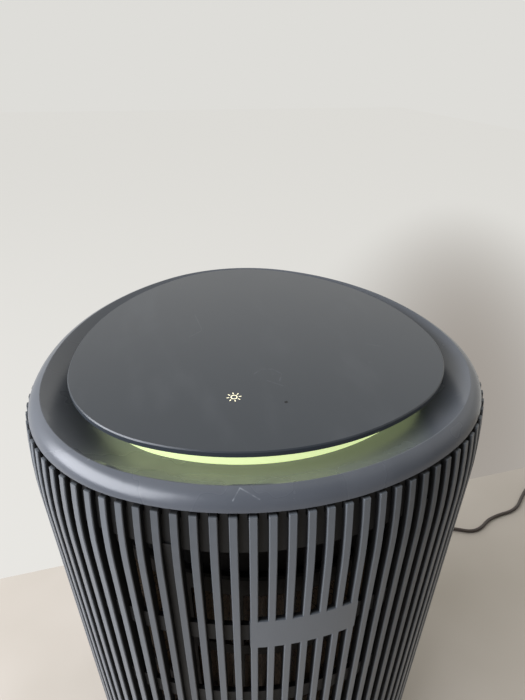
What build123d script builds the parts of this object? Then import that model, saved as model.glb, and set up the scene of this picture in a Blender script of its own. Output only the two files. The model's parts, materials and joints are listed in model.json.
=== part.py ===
from build123d import *
import math
import os

# Free-standing tower air purifier with a three-lobed plan, as separate pieces in one frame.
# Millimetres, +Z up, floor at z = 0. The origin lies under the middle of the body's box,
# and the front faces -Y. Air enters between the ribs, passes the round filter inwards, is
# drawn up by the fan and leaves through the slot under the lid.

# ---- driving dimensions ----
height = 522.0
body_radius = 145.5  # half the constant width over the rib faces
lobe_side = 62.0  # side of the triangle that the outline's arcs are centred on
clearance = 0.3  # gap between pieces of different bodies, and between slip-in pieces

rib_count = 99  # a whole number for each of the three sides
rib_width = 4.0
rib_depth = 5.5
rib_edge = 0.4
rib_proud = 3.2  # how far a rib stands out of the hoops and skirts
rib_bottom = 15.5
rib_top_drop = 15.5  # from the top of the lid to the rib tips
bend_length = 44.0  # stretch over which the ribs curve in at either end
bend_depth = 3.2

hoop_height = 14.0
hoop_count = 6
hoop_thickness = 2.6
top_hoop_drop = 99.0  # from the top of the lid to the top of the highest hoop
low_hoop = 68.0  # top of the lowest hoop
skirt_height = 25.5
notch_gap = 0.6
notch_depth = 5.5
post_slot = 7.5  # rib pitches from the middle of a side to each post
post_lap = 3.0  # how far a post runs behind each skirt
badge_ribs = 7
badge_height = 24.0
badge_drop = 91.3
badge_thickness = 3.0
cover_ribs = 50
seam_gap = 0.6

lid_inset = 15.9  # from the crest in to the lid's edge
lid_thickness = 3.3
lid_edge = 0.6
crest_inset = 12.8  # from the rib faces in to the crest
crest_drop = 5.2
band_inset = 4.7
band_drop = 14.1
band_bulge = 1.6
dish_inset = 30.8  # from the crest in to the collar
dish_drop = 22.3
dish_sag = 1.0
ring_wall = 2.5
ring_undercut = 1.2  # wall thicknesses under the dish
collar_height = 2.7
shoulder_gap = 0.7
flange_depth = 24.0

light_height = 9.3
light_thickness = 2.0
vane_count = 48
vane_thickness = 1.4
carrier_thickness = 2.2
icon_radius = 1.9
icon_ray = 1.5
icon_line = 0.5
icon_depth = 0.5
icon_x = -24.2
icon_inset = 46.7  # from the lid's front edge

crest_round = 0.5
led_count = 36
led_size = 1.6
board_space = 3.2
board_thickness = 1.2
carrier_lip = 4.0
cone_inset = 21.9
cone_tip = 12.0
cone_depth = 8.0
touch_x = -10.0
touch_inset = 44.8
touch_width = 80.0
touch_length = 30.0
touch_pocket = 1.6

magnet_radius = 4.0
magnet_depth = 3.0
magnet_block = 11.0
block_inset = 4.0
keeper_thickness = 1.5

base_screw_inset = 32.0
base_screw_length = 24.0
screw_fit = 0.2
screw_hole_depth = 16.0
screw_inset = 6.0
screw_spacing = 12.0
foot_inset = 20.0
board_post_x = 50.0
board_post_y = 30.0
board_post_radius = 3.0
board_post_height = 6.0
board_margin = 5.0
transformer = (-22.0, 4.0, 34.0, 30.0, 24.0)  # x, y, width, length and rise on its board
heat_sink = (38.0, 0.0, 12.0, 40.0, 16.0)
capacitor_x = 14.0
capacitor_y = 12.0
capacitor_radius = 8.0
capacitor_height = 20.0
fence_gap = 1.0
fence_wall = 2.0
fence_height = 6.0
harness_depth = 4.0
harness_width = 6.0
harness_y = 1.5
pleat_fold = 7.0
tab_reach = 9.0
tab_rise = 40.0
tab_strap = 1.6
tab_width = 26.0
sensor_depth = 12.0
sensor_width = 38.0
sensor_height = 26.0
guard_pitch = 18
guard_wire = 2.0
guard_gap = 0.2
duct_lead = 5.0  # the duct still widens this far above the impeller
duct_foot = 16.0
hub_wall = 2.4
rotor_radius = 21.0
stator_gap = 1.0
cup_height = 22.0
control_inset = 12.0
control_width = 70.0
control_height = 40.0
chip_width = 12.0
chip_height = 14.0
chip_depth = 4.0
chip_places = (-20.0, 2.0, 22.0)
coil_turns = 5.25
plug_neck = 14.0
plug_waist = 0.5  # of the full width, at the neck
plug_shoulder = 0.75  # of the length and height, where it is at its widest
plug_collar = 0.6

plinth_inset = 3.8
foot_height = 4.0
foot_radius = 13.0
tray_floor = 3.0
tray_wall = 2.6
tray_height = 44.0
seat_thickness = 3.0
pillar_gap = 5.7  # from the hoops in to the pillars
pillar_thickness = 11.4
pillar_room = 3.6  # from the filter out to the pillars
pillar_front = -24.0
pillar_back = 8.0

pleat_count = 120
pleat_inset = 3.0
core_lip = 4.0
core_room = 4.0
cap_thickness = 8.0
gasket_height = 3.4
gasket_inset = 6.0
cage_ring_height = 10.0
cage_ring_pitch = 62.0
cage_wall = 2.0
cage_struts = 24

deck_thickness = 3.0
deck_lip = 5.0
inlet_step = 14.0
duct_inset = 11.9
duct_wall = 2.4
flange_thickness = 3.0
fan_cover_step = 1.5
fan_cover_wall = 2.5
hub_inlet_radius = 26.0
hub_outlet_radius = 50.0
blade_count = 9
blade_thickness = 2.2
blade_tip_gap = 1.6
fan_bottom_gap = 6.0
fan_height = 30.0
shaft_radius = 4.0
shaft_fit = 0.04
bearing_radius = 11.0
bearing_width = 5.0
motor_radius = 36.0
motor_height = 24.0
motor_wall = 2.0
motor_gap = 1.5  # between the motor's cap and the cone under the lid
cup_gap = 2.0
cup_radius = 46.0
stator_vanes = 11

screw_radius = 2.0
screw_head_radius = 4.0
screw_head_height = 2.6

cord_diameter = 5.4
gland_wall = 1.2
gland_height = 9.0
gland_flange = 1.5
relief_length = 25.0
relief_tip = 0.5  # wall of the strain relief at its end
coil_turn_radius = 32.4  # to the middle of the turns
coil_x = 628.0
coil_back = 63.2  # from the strain relief's end back to the coil's middle
plug_length = 36.0
plug_width = 35.3
plug_height = 13.7
pin_radius = 2.0
pin_length = 19.0
pin_spacing = 18.6

# ---- levels and radii that follow from them ----
lobe_reach = lobe_side / math.sqrt(3)
axis_y = lobe_side / 2 - lobe_reach  # puts the middle of the body's box on the origin
corner_directions = (90, 210, 330)
os.makedirs("parts", exist_ok=True)
rib_pitch = 2 * math.pi * body_radius / rib_count
seam_slot = (rib_count - cover_ribs) / 2

lid_bottom = height - lid_thickness
carrier_bottom = lid_bottom - carrier_thickness
crest_level = height - crest_drop
band_level = height - band_drop
dish_level = height - dish_drop
rib_top = height - rib_top_drop
skirt_top = band_level - clearance
skirt_bottom = rib_bottom - 0.5
top_hoop = height - top_hoop_drop
hoop_pitch = (top_hoop - low_hoop) / (hoop_count - 1)

hoop_radius = body_radius - rib_proud
shell_depth = max(rib_depth, rib_proud + hoop_thickness)
shoulder_radius = body_radius - bend_depth - shell_depth - shoulder_gap
plinth_radius = shoulder_radius - plinth_inset
pillar_outer = hoop_radius - hoop_thickness - pillar_gap
pillar_inner = pillar_outer - pillar_thickness
filter_radius = pillar_inner - pillar_room
deck_radius = filter_radius + deck_lip
fan_cover_radius = filter_radius + fan_cover_step
band_radius = body_radius - band_inset
crest_radius = body_radius - crest_inset
lid_radius = crest_radius - lid_inset
dish_radius = crest_radius - dish_inset
duct_radius = dish_radius - duct_inset
inlet_radius = duct_radius - inlet_step
core_radius = inlet_radius + core_lip
pleat_inner = core_radius + core_room
pleat_outer = filter_radius - pleat_inset
icon_y = icon_inset - lid_radius
touch_y = touch_inset - lid_radius

# the motor hangs just under the lid, the fan under it, and the filter fills what is left
can_top = carrier_bottom - cone_depth - motor_gap
can_bottom = can_top - motor_height
cup_bottom = can_bottom - motor_wall
fan_top = cup_bottom - cup_gap
fan_bottom = fan_top - fan_height
deck_top = fan_bottom - fan_bottom_gap
deck_bottom = deck_top - deck_thickness
ring_seat = dish_level - collar_height
flange_bottom = ring_seat - flange_thickness
duct_rise = fan_bottom_gap + fan_height + duct_lead
tray_bottom = foot_height
tray_inner_floor = tray_bottom + tray_floor
plinth_top = skirt_bottom - 1.0
seat_level = tray_height + seat_thickness
filter_bottom = seat_level + clearance
gasket_top = deck_bottom - clearance
filter_top = gasket_top - gasket_height
filter_height = filter_top - filter_bottom
light_bottom = ring_seat + clearance
light_top = light_bottom + light_height


def polar(radius, direction, level=0.0):
    """Point at a radius and a direction in degrees about the body's axis."""
    angle = math.radians(direction)
    return Vector(radius * math.cos(angle), axis_y + radius * math.sin(angle), level)


def corner_centre(direction):
    """Centre of the corner arc facing a direction, and of the side arc behind it."""
    return polar(lobe_reach, direction)


def draw_outline(radius):
    """Draw the closed three-lobed outline as six tangent arcs, in the active line."""
    for direction in corner_directions:
        centre = corner_centre(direction)
        CenterArc(centre, radius - lobe_side / 2, direction - 30, 60)
        CenterArc(centre, radius + lobe_side / 2, direction + 150, 60)


def lobed_prism(radius, bottom, top, inner_radius=None):
    """Upright plate or tube with the three-lobed outline."""
    with BuildPart() as prism:
        with BuildSketch(Plane.XY.offset(bottom)):
            with BuildLine():
                draw_outline(radius)
            make_face()
            if inner_radius is not None:
                with BuildLine():
                    draw_outline(inner_radius)
                make_face(mode=Mode.SUBTRACT)
        extrude(amount=top - bottom)
    return prism.part


def lobed_sweep(draw_profile):
    """Carry a profile round the outline. It is drawn as mean radius and height."""
    with BuildPart() as swept:
        for direction in corner_directions:
            centre = corner_centre(direction)
            arcs = ((-lobe_side / 2, direction - 30), (lobe_side / 2, direction + 150))
            for shift, start in arcs:
                outward = polar(1, start) - polar(0, start)
                wall = Plane(origin=centre, x_dir=outward, z_dir=outward.cross(Vector(0, 0, 1)))
                with BuildSketch(wall):
                    with BuildLine():
                        draw_profile(shift)
                    make_face()
                revolve(axis=Axis(centre, (0, 0, 1)), revolution_arc=60)
    return swept.part


def tube(outer, inner, bottom, top, centre=None):
    """Round tube, or a round plate when the inner radius is 0."""
    middle = polar(0, 0) if centre is None else centre
    with BuildPart() as ring:
        with BuildSketch(Plane(origin=(middle.X, middle.Y, bottom))):
            Circle(outer)
            if inner > 0:
                Circle(inner, mode=Mode.SUBTRACT)
        extrude(amount=top - bottom)
    return ring.part


def outline_place(slots):
    """Place on the outline some rib pitches from the front's middle, with X outward.

    The place's own X coordinate is the mean radius of the outline there.
    """
    side_length = math.radians(60) * (body_radius + lobe_side / 2)
    corner_length = math.radians(60) * (body_radius - lobe_side / 2)
    left = (slots * rib_pitch + side_length / 2) % (3 * (side_length + corner_length))
    for step in range(6):
        on_side = step % 2 == 0
        length = side_length if on_side else corner_length
        if left <= length:
            break
        left -= length
    middle = 60 * step - 90
    facing = middle - 30 + 60 * left / length
    outward = polar(1, facing) - polar(0, facing)
    centre = corner_centre(middle + 180 if on_side else middle)
    shift = lobe_side / 2 if on_side else -lobe_side / 2
    base = centre + outward * shift
    return Location((base.X, base.Y, 0), (0, 0, facing))


def rib_face(level):
    """Mean radius of the rib faces at a height, curving in towards both ends."""
    bend_radius = (bend_length**2 + bend_depth**2) / (2 * bend_depth)
    above = level - (rib_top - bend_length)
    below = (rib_bottom + bend_length) - level
    reach = max(above, below, 0.0)
    return body_radius - bend_radius + math.sqrt(bend_radius**2 - reach**2)


def hoop_face(level):
    """Mean radius of the outer face of the hoops and skirts at a height."""
    return rib_face(level) - rib_proud


def draw_skirt(shift, bottom, top):
    """Draw the section of a skirt band that follows the curve of the ribs."""
    middle = (bottom + top) / 2
    outer = [(hoop_face(level) + shift, level) for level in (bottom, middle, top)]
    inner = [(radius - hoop_thickness, level) for radius, level in reversed(outer)]
    ThreePointArc(*outer)
    Line(outer[-1], inner[0])
    ThreePointArc(*inner)
    Line(inner[-1], outer[0])


def pan_screw(length):
    """Pan-head screw with its head's underside at z = 0 and its shank pointing up."""
    with BuildPart() as screw:
        with BuildSketch():
            Circle(screw_head_radius)
        extrude(amount=-screw_head_height)
        fillet(screw.faces().sort_by(Axis.Z)[0].edges(), screw_head_height / 2)
        with BuildSketch():
            Circle(screw_radius)
        extrude(amount=length)
        with Locations((0, 0, -screw_head_height)):
            with PolarLocations(0, 2, angular_range=180):
                Box(screw_head_radius, 0.9, 2.0, mode=Mode.SUBTRACT)
    return screw.part


def half_shell(slots, post_slots, keep):
    """Hoops, skirts, posts and ribs of the front or the rear half of the louvred body."""
    seam_point = (outline_place(seam_slot) * Location((body_radius, 0, 0))).position.Y
    back_off = seam_gap / 2 if keep == Keep.TOP else -seam_gap / 2
    ends = (skirt_top, skirt_bottom)
    with BuildPart() as shell:
        for number in range(hoop_count):
            top = top_hoop - number * hoop_pitch
            add(lobed_prism(hoop_radius, top - hoop_height, top, hoop_radius - hoop_thickness))
        add(lobed_sweep(lambda shift: draw_skirt(shift, skirt_top - skirt_height, skirt_top)))
        add(lobed_sweep(lambda shift: draw_skirt(shift, skirt_bottom, skirt_bottom + skirt_height)))
        split(bisect_by=Plane.XZ.offset(back_off - seam_point), keep=keep)
        with Locations(*[outline_place(slot) for slot in post_slots]):
            with Locations((hoop_radius - hoop_thickness / 2, 0, skirt_bottom + skirt_height - post_lap)):
                Box(
                    hoop_thickness,
                    rib_pitch - rib_width / 2,
                    skirt_top - skirt_bottom - 2 * (skirt_height - post_lap),
                    align=(Align.CENTER, Align.CENTER, Align.MIN),
                )
        with Locations(*[outline_place(slot) for slot in slots]):
            with Locations(*[(hoop_face(level), 0, level) for level in ends]):
                Box(4 * hoop_thickness, rib_width + 2 * notch_gap, 2 * notch_depth, mode=Mode.SUBTRACT)
        with Locations(*[outline_place(slot) for slot in slots]):
            add(rib.part)
    return shell.part


# ==== louvred body: the fixed front grille and the lift-off rear cover ====
with BuildPart() as rib:
    lower_bend = rib_bottom + bend_length
    upper_bend = rib_top - bend_length
    with BuildSketch(Plane.XZ):
        with BuildLine():
            for radius in (body_radius, body_radius - rib_depth):
                tip = radius - bend_depth
                TangentArc((radius, upper_bend), (tip, rib_top), tangent=(0, 1))
                Line((radius, upper_bend), (radius, lower_bend))
                TangentArc((radius, lower_bend), (tip, rib_bottom), tangent=(0, -1))
            for level in (rib_bottom, rib_top):
                Line((body_radius - bend_depth, level), (body_radius - bend_depth - rib_depth, level))
        make_face()
    extrude(amount=rib_width / 2, both=True)
    outer_faces = rib.faces().filter_by(lambda face: face.center().X > body_radius - bend_depth)
    side_edges = outer_faces.edges().filter_by(lambda edge: abs(edge.center().Y) > rib_width / 2 - 0.01)
    chamfer(side_edges, rib_edge)

half_count = rib_count // 2
front_slots = [slot for slot in range(-half_count, half_count + 1) if abs(slot) < seam_slot]
rear_slots = [slot for slot in range(rib_count) if seam_slot < slot < rib_count - seam_slot]
rear_middles = (rib_count / 3, rib_count * 2 / 3)

badge_top = height - badge_drop
badge_width = (badge_ribs - 1) * rib_pitch + rib_width
with BuildPart() as front_grille:
    add(half_shell(front_slots, (1 - seam_slot, -post_slot, post_slot, seam_slot - 1), Keep.TOP))
    with BuildSketch(Plane.XY.offset(badge_top - badge_height)):
        with BuildLine():
            draw_outline(body_radius)
        make_face()
        with BuildLine():
            draw_outline(body_radius - badge_thickness)
        make_face(mode=Mode.SUBTRACT)
        with Locations((0, -body_radius)):
            Rectangle(badge_width, body_radius, mode=Mode.INTERSECT)
    extrude(amount=badge_height)
front_grille.part.label = "front_grille"
export_step(front_grille.part, "parts/front_grille.step")

# magnet blocks stand on the cover's hoops, just behind the pillars of the frame
magnet_x = (pillar_inner + pillar_outer) / 2
magnet_levels = [top_hoop - number * hoop_pitch - hoop_height / 2 for number in (1, 4)]
magnet_spots = [(side * magnet_x, level) for side in (-1, 1) for level in magnet_levels]
block_front = pillar_back + clearance
with BuildPart() as rear_cover:
    add(half_shell(rear_slots, [m + s * post_slot for m in rear_middles for s in (-1, 1)], Keep.BOTTOM))
    for x, level in magnet_spots:
        side = math.copysign(1, x)
        inner_x = magnet_x - magnet_block / 2
        with Locations((side * inner_x, block_front, level)):
            Box(
                hoop_radius - hoop_thickness / 2 - inner_x - block_inset,
                magnet_block,
                hoop_height,
                align=(Align.MIN if side > 0 else Align.MAX, Align.MIN, Align.CENTER),
            )
    with Locations(*[Location((x, block_front, level), (90, 0, 0)) for x, level in magnet_spots]):
        Cylinder(magnet_radius, 2 * magnet_depth, mode=Mode.SUBTRACT)
rear_cover.part.label = "rear_cover"
export_step(rear_cover.part, "parts/rear_cover.step")

with BuildPart() as cover_magnets:
    with Locations(*[Location((x, block_front, level), (90, 0, 0)) for x, level in magnet_spots]):
        Cylinder(magnet_radius, magnet_depth, align=(Align.CENTER, Align.CENTER, Align.MAX))
cover_magnets.part.label = "cover_magnets"
export_step(cover_magnets.part, "parts/cover_magnets.step")

with BuildPart() as magnet_keepers:
    with Locations(*[(x, pillar_back, level) for x, level in magnet_spots]):
        Box(
            2 * magnet_radius,
            keeper_thickness,
            2 * magnet_radius,
            align=(Align.CENTER, Align.MAX, Align.CENTER),
        )
magnet_keepers.part.label = "magnet_keepers"
export_step(magnet_keepers.part, "parts/magnet_keepers.step")

# ==== top: ring, light, outlet and lid ====
ring_flange = shoulder_radius


def draw_top_ring(shift):
    """Draw the section of the top ring: band, crest, dish, collar and hanging flange."""
    crest = (crest_radius + shift, crest_level)
    band = (band_radius + shift, band_level)
    dish = (dish_radius + shift, dish_level)
    slope = (crest_level - dish_level) / (crest_radius - dish_radius)
    band_length = math.dist(crest, band)
    bulge_x = band_bulge * (crest_level - band_level) / band_length
    bulge_y = band_bulge * (band_radius - crest_radius) / band_length
    band_middle = ((crest[0] + band[0]) / 2 + bulge_x, (crest[1] + band[1]) / 2 + bulge_y)
    dish_middle = ((crest[0] + dish[0]) / 2, (crest[1] + dish[1]) / 2 - dish_sag)
    collar = dish[0] + ring_wall
    flange_inner = ring_flange - ring_wall + shift
    under_crest = (flange_inner - ring_wall, crest_level - (crest[0] - flange_inner + ring_wall) * slope)
    ThreePointArc(crest, band_middle, band)
    Polyline(
        band,
        (ring_flange + shift, band_level),
        (ring_flange + shift, band_level - flange_depth),
        (flange_inner, band_level - flange_depth),
        (flange_inner, under_crest[1] - 2 * ring_wall),
        (under_crest[0], under_crest[1] - ring_undercut * ring_wall - dish_sag / 2),
        (collar, dish_level + ring_wall * slope - ring_undercut * ring_wall),
        (collar, ring_seat),
        (dish[0], ring_seat),
        dish,
    )
    ThreePointArc(dish, dish_middle, crest)


with BuildPart() as top_ring:
    add(lobed_sweep(draw_top_ring))
    crest_edges = top_ring.edges().filter_by(lambda edge: abs(edge.center().Z - crest_level) < 0.01)
    fillet(crest_edges, crest_round)
top_ring.part.label = "top_ring"
export_step(top_ring.part, "parts/top_ring.step")

light_outer = dish_radius - 0.1
light_inner = light_outer - light_thickness
light_guide = lobed_prism(light_outer, light_bottom, light_top, light_inner)
light_guide.label = "light_guide"
export_step(light_guide, "parts/light_guide.step")

vane_wall_outer = light_inner - board_space
vane_wall_inner = vane_wall_outer - vane_thickness
with BuildPart() as light_board:
    add(lobed_prism(vane_wall_outer + board_thickness, light_bottom, light_top - 1, vane_wall_outer))
    with Locations(*[outline_place(number * rib_count / led_count) for number in range(led_count)]):
        with Locations((vane_wall_outer + board_thickness / 2, 0, (light_bottom + light_top) / 2)):
            Box(led_size, led_size, led_size, align=(Align.MIN, Align.CENTER, Align.CENTER))
light_board.part.label = "light_board"
export_step(light_board.part, "parts/light_board.step")

vane_foot = light_top + vane_thickness
with BuildPart() as outlet_vanes:
    add(lobed_prism(light_outer, light_top, vane_foot, vane_wall_inner))
    add(lobed_prism(vane_wall_outer, ring_seat, light_top, vane_wall_inner))
    with Locations(*[outline_place(number * rib_count / vane_count) for number in range(vane_count)]):
        with Locations((light_outer, 0, vane_foot)):
            Box(
                light_outer - vane_wall_inner,
                vane_thickness,
                carrier_bottom - vane_foot,
                align=(Align.MAX, Align.CENTER, Align.MIN),
            )
outlet_vanes.part.label = "outlet_vanes"
export_step(outlet_vanes.part, "parts/outlet_vanes.step")

with BuildPart() as lid_carrier:
    add(lobed_prism(light_outer + carrier_lip, carrier_bottom, lid_bottom))
    with BuildSketch(Plane.XZ.offset(-axis_y)):
        with BuildLine():
            Polyline(
                (0, carrier_bottom),
                (0, carrier_bottom - cone_depth),
                (cone_tip, carrier_bottom - cone_depth),
            )
            TangentArc(
                (dish_radius - cone_inset, carrier_bottom),
                (cone_tip, carrier_bottom - cone_depth),
                tangent=(-1, -0.08),
            )
            Line((dish_radius - cone_inset, carrier_bottom), (0, carrier_bottom))
        make_face()
    revolve(axis=Axis((0, axis_y, 0), (0, 0, 1)))
    with Locations((touch_x, touch_y, lid_bottom)):
        Box(
            touch_width + 2 * clearance,
            touch_length + 2 * clearance,
            2 * touch_pocket,
            mode=Mode.SUBTRACT,
        )
lid_carrier.part.label = "lid_carrier"
export_step(lid_carrier.part, "parts/lid_carrier.step")

with BuildPart() as touch_board:
    with Locations((touch_x, touch_y, lid_bottom - touch_pocket)):
        Box(touch_width, touch_length, board_thickness, align=(Align.CENTER, Align.CENTER, Align.MIN))
touch_board.part.label = "touch_board"
export_step(touch_board.part, "parts/touch_board.step")

with BuildPart() as light_icon:
    with BuildSketch(Plane((icon_x, icon_y, height - icon_depth))):
        Circle(icon_radius)
        Circle(icon_radius - icon_line, mode=Mode.SUBTRACT)
        with PolarLocations(icon_radius + icon_ray, 8):
            Rectangle(icon_ray, icon_line)
    extrude(amount=icon_depth)
light_icon.part.label = "light_icon"
export_step(light_icon.part, "parts/light_icon.step")

with BuildPart() as lid_plate:
    add(lobed_prism(lid_radius, lid_bottom, height))
    chamfer(lid_plate.faces().sort_by(Axis.Z)[-1].edges(), lid_edge)
    add(light_icon.part, mode=Mode.SUBTRACT)
lid_plate.part.label = "lid_plate"
export_step(lid_plate.part, "parts/lid_plate.step")

# ==== base: feet, tray, seat plate, power supply and cord gland ====
gland_face = axis_y + lobe_reach + plinth_radius - lobe_side / 2
gland_start = gland_face - tray_wall
cord_radius = cord_diameter / 2
gland_radius = cord_radius + gland_wall
base_screw_spots = [polar(plinth_radius - base_screw_inset, direction) for direction in (30, 150, 270)]
board_post_ys = (axis_y - board_post_y, axis_y + board_post_y)
board_posts = [(x, y) for x in (-board_post_x, board_post_x) for y in board_post_ys]

with BuildPart() as base_tray:
    add(lobed_prism(plinth_radius, tray_bottom, plinth_top))
    add(lobed_prism(shoulder_radius, plinth_top, tray_height))
    add(lobed_prism(plinth_radius - tray_wall, tray_inner_floor, plinth_top), mode=Mode.SUBTRACT)
    shoulder_floor = plinth_top + tray_wall
    add(lobed_prism(plinth_radius - tray_wall, plinth_top, shoulder_floor), mode=Mode.SUBTRACT)
    add(lobed_prism(shoulder_radius - tray_wall, shoulder_floor, tray_height), mode=Mode.SUBTRACT)
    with Locations(*[(spot.X, spot.Y, tray_inner_floor) for spot in base_screw_spots]):
        Cylinder(2 * screw_head_radius, screw_head_height, align=(Align.CENTER, Align.CENTER, Align.MIN))
    with Locations(*[(spot.X, spot.Y, tray_bottom) for spot in base_screw_spots]):
        Cylinder(screw_radius + screw_fit, 4 * tray_floor, mode=Mode.SUBTRACT)
        Cylinder(screw_head_radius + screw_fit, 2 * (screw_head_height + screw_fit), mode=Mode.SUBTRACT)
    with Locations(*[(x, y, tray_inner_floor) for x, y in board_posts]):
        Cylinder(board_post_radius, board_post_height, align=(Align.CENTER, Align.CENTER, Align.MIN))
    with Locations(Location((0, gland_face, gland_height), (90, 0, 0))):
        Cylinder(gland_radius, 4 * tray_wall, mode=Mode.SUBTRACT)
base_tray.part.label = "base_tray"
export_step(base_tray.part, "parts/base_tray.step")

foot_spots = [polar(plinth_radius - foot_inset, direction) for direction in corner_directions]
with BuildPart() as rubber_feet:
    with Locations(*[(spot.X, spot.Y, 0) for spot in foot_spots]):
        Cylinder(foot_radius, foot_height, align=(Align.CENTER, Align.CENTER, Align.MIN))
    fillet(rubber_feet.edges().group_by(Axis.Z)[0], foot_height / 4)
rubber_feet.part.label = "rubber_feet"
export_step(rubber_feet.part, "parts/rubber_feet.step")

pillar_middle = (pillar_inner + pillar_outer) / 2
pillar_screw_x = pillar_inner + screw_head_radius + clearance
pillar_screw_ys = (pillar_front + screw_inset, pillar_front + screw_inset + screw_spacing)
pillar_screws_xy = [(side * pillar_screw_x, y) for side in (-1, 1) for y in pillar_screw_ys]

with BuildPart() as seat_plate:
    add(lobed_prism(shoulder_radius, tray_height, seat_level))
    with BuildSketch(Plane.XY.offset(seat_level)):
        with Locations((0, axis_y)):
            Circle(filter_radius + fence_gap + fence_wall)
            Circle(filter_radius + fence_gap, mode=Mode.SUBTRACT)
        with Locations((0, pillar_front - 2 * fence_wall)):
            Rectangle(
                3 * filter_radius,
                2 * filter_radius,
                align=(Align.CENTER, Align.MAX),
                mode=Mode.INTERSECT,
            )
    extrude(amount=fence_height)
    with Locations(*[(spot.X, spot.Y, tray_height) for spot in base_screw_spots]):
        boss_bottom = tray_inner_floor + screw_head_height
        Cylinder(
            2 * screw_radius + 1,
            tray_height - boss_bottom,
            align=(Align.CENTER, Align.CENTER, Align.MAX),
        )
        Cylinder(screw_radius, 3 * tray_height, mode=Mode.SUBTRACT)
    with Locations(*[(x, y, tray_height) for x, y in pillar_screws_xy]):
        Cylinder(screw_radius + screw_fit, 3 * seat_thickness, mode=Mode.SUBTRACT)
seat_plate.part.label = "seat_plate"
export_step(seat_plate.part, "parts/seat_plate.step")

base_screw = pan_screw(base_screw_length)
with BuildPart() as base_screws:
    with Locations(*[(spot.X, spot.Y, tray_bottom + screw_head_height) for spot in base_screw_spots]):
        add(base_screw)
base_screws.part.label = "base_screws"
export_step(base_screws.part, "parts/base_screws.step")

with BuildPart() as power_supply:
    board_level = tray_inner_floor + board_post_height
    with Locations((0, axis_y, board_level)):
        Box(
            2 * (board_post_x + board_margin),
            2 * (board_post_y + board_margin),
            board_thickness,
            align=(Align.CENTER, Align.CENTER, Align.MIN),
        )
    for x, y, width, length, rise in (transformer, heat_sink):
        with Locations((x, axis_y + y, board_level)):
            Box(width, length, rise, align=(Align.CENTER, Align.CENTER, Align.MIN))
    with Locations(*[(capacitor_x, axis_y + y, board_level) for y in (-capacitor_y, capacitor_y)]):
        Cylinder(capacitor_radius, capacitor_height, align=(Align.CENTER, Align.CENTER, Align.MIN))
power_supply.part.label = "power_supply"
export_step(power_supply.part, "parts/power_supply.step")

with BuildPart() as cord_gland:
    with BuildSketch(Plane(origin=(0, gland_start - clearance, gland_height), z_dir=(0, 1, 0))):
        Circle(gland_radius)
    extrude(amount=tray_wall + clearance)
    flange_plane = Plane(origin=(0, gland_start - clearance, gland_height), x_dir=(1, 0, 0), z_dir=(0, -1, 0))
    with BuildSketch(flange_plane):
        Circle(gland_radius - 0.1)
        Rectangle(3 * gland_radius, gland_radius)
    extrude(amount=gland_flange)
    with BuildSketch(Plane(origin=(0, gland_face, gland_height), z_dir=(0, 1, 0))):
        Circle(gland_radius)
    with BuildSketch(Plane(origin=(0, gland_face + relief_length, gland_height), z_dir=(0, 1, 0))):
        Circle(cord_radius + relief_tip)
    loft()
cord_gland.part.label = "cord_gland"
export_step(cord_gland.part, "parts/cord_gland.step")

# ==== frame: two pillars and the wiring between base and fan deck ====
for side, name in ((-1, "left_pillar"), (1, "right_pillar")):
    with BuildPart() as pillar:
        with Locations((side * pillar_middle, pillar_front, seat_level)):
            Box(
                pillar_outer - pillar_inner,
                pillar_back - pillar_front,
                deck_bottom - seat_level,
                align=(Align.CENTER, Align.MIN, Align.MIN),
            )
        for number in range(hoop_count):
            level = top_hoop - number * hoop_pitch - hoop_height / 2
            if level - hoop_height / 2 > seat_level:
                with Locations((side * pillar_outer, axis_y - lobe_reach / 2, level)):
                    Box(
                        2 * (body_radius - shell_depth - clearance - pillar_outer),
                        hoop_height / 2,
                        hoop_height,
                    )
        with Locations((side * pillar_inner, harness_y, seat_level)):
            Box(
                2 * (harness_depth + clearance),
                harness_width + 2 * clearance,
                deck_bottom - seat_level,
                align=(Align.CENTER, Align.CENTER, Align.MIN),
                mode=Mode.SUBTRACT,
            )
        ends = (seat_level, deck_bottom)
        with Locations(*[(side * pillar_screw_x, y, z) for y in pillar_screw_ys for z in ends]):
            Cylinder(screw_radius, 2 * screw_hole_depth, mode=Mode.SUBTRACT)
        with Locations(*[(x, pillar_back, level) for x, level in magnet_spots]):
            Box(
                2 * magnet_radius,
                2 * keeper_thickness,
                2 * magnet_radius,
                mode=Mode.SUBTRACT,
            )
    pillar.part.label = name
    export_step(pillar.part, f"parts/{name}.step")

with BuildPart() as wiring_harness:
    with Locations((-pillar_inner - clearance, harness_y, seat_level)):
        Box(
            harness_depth - clearance,
            harness_width,
            deck_bottom - seat_level,
            align=(Align.MAX, Align.CENTER, Align.MIN),
        )
    fillet(wiring_harness.edges().filter_by(Axis.Z), harness_depth / 4)
wiring_harness.part.label = "wiring_harness"
export_step(wiring_harness.part, "parts/wiring_harness.step")

pillar_screw = pan_screw(screw_hole_depth)
with BuildPart() as pillar_screws:
    with Locations(*[(x, y, tray_height) for x, y in pillar_screws_xy]):
        add(pillar_screw)
pillar_screws.part.label = "pillar_screws"
export_step(pillar_screws.part, "parts/pillar_screws.step")

with BuildPart() as deck_screws:
    with Locations(*[Location((x, y, deck_top), (180, 0, 0)) for x, y in pillar_screws_xy]):
        add(pillar_screw)
deck_screws.part.label = "deck_screws"
export_step(deck_screws.part, "parts/deck_screws.step")

# ==== filter: pleated ring between two caps, with an outer cage and a core ====


def draw_pleats():
    """Draw the folded outline of the paper, as straight flanks between two radii."""
    corners = []
    for number in range(pleat_count):
        turn = 360 * number / pleat_count
        corners.append(polar(pleat_outer, turn))
        corners.append(polar(pleat_outer - pleat_fold, turn + 180 / pleat_count))
    Polyline(*corners, close=True)


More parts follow.
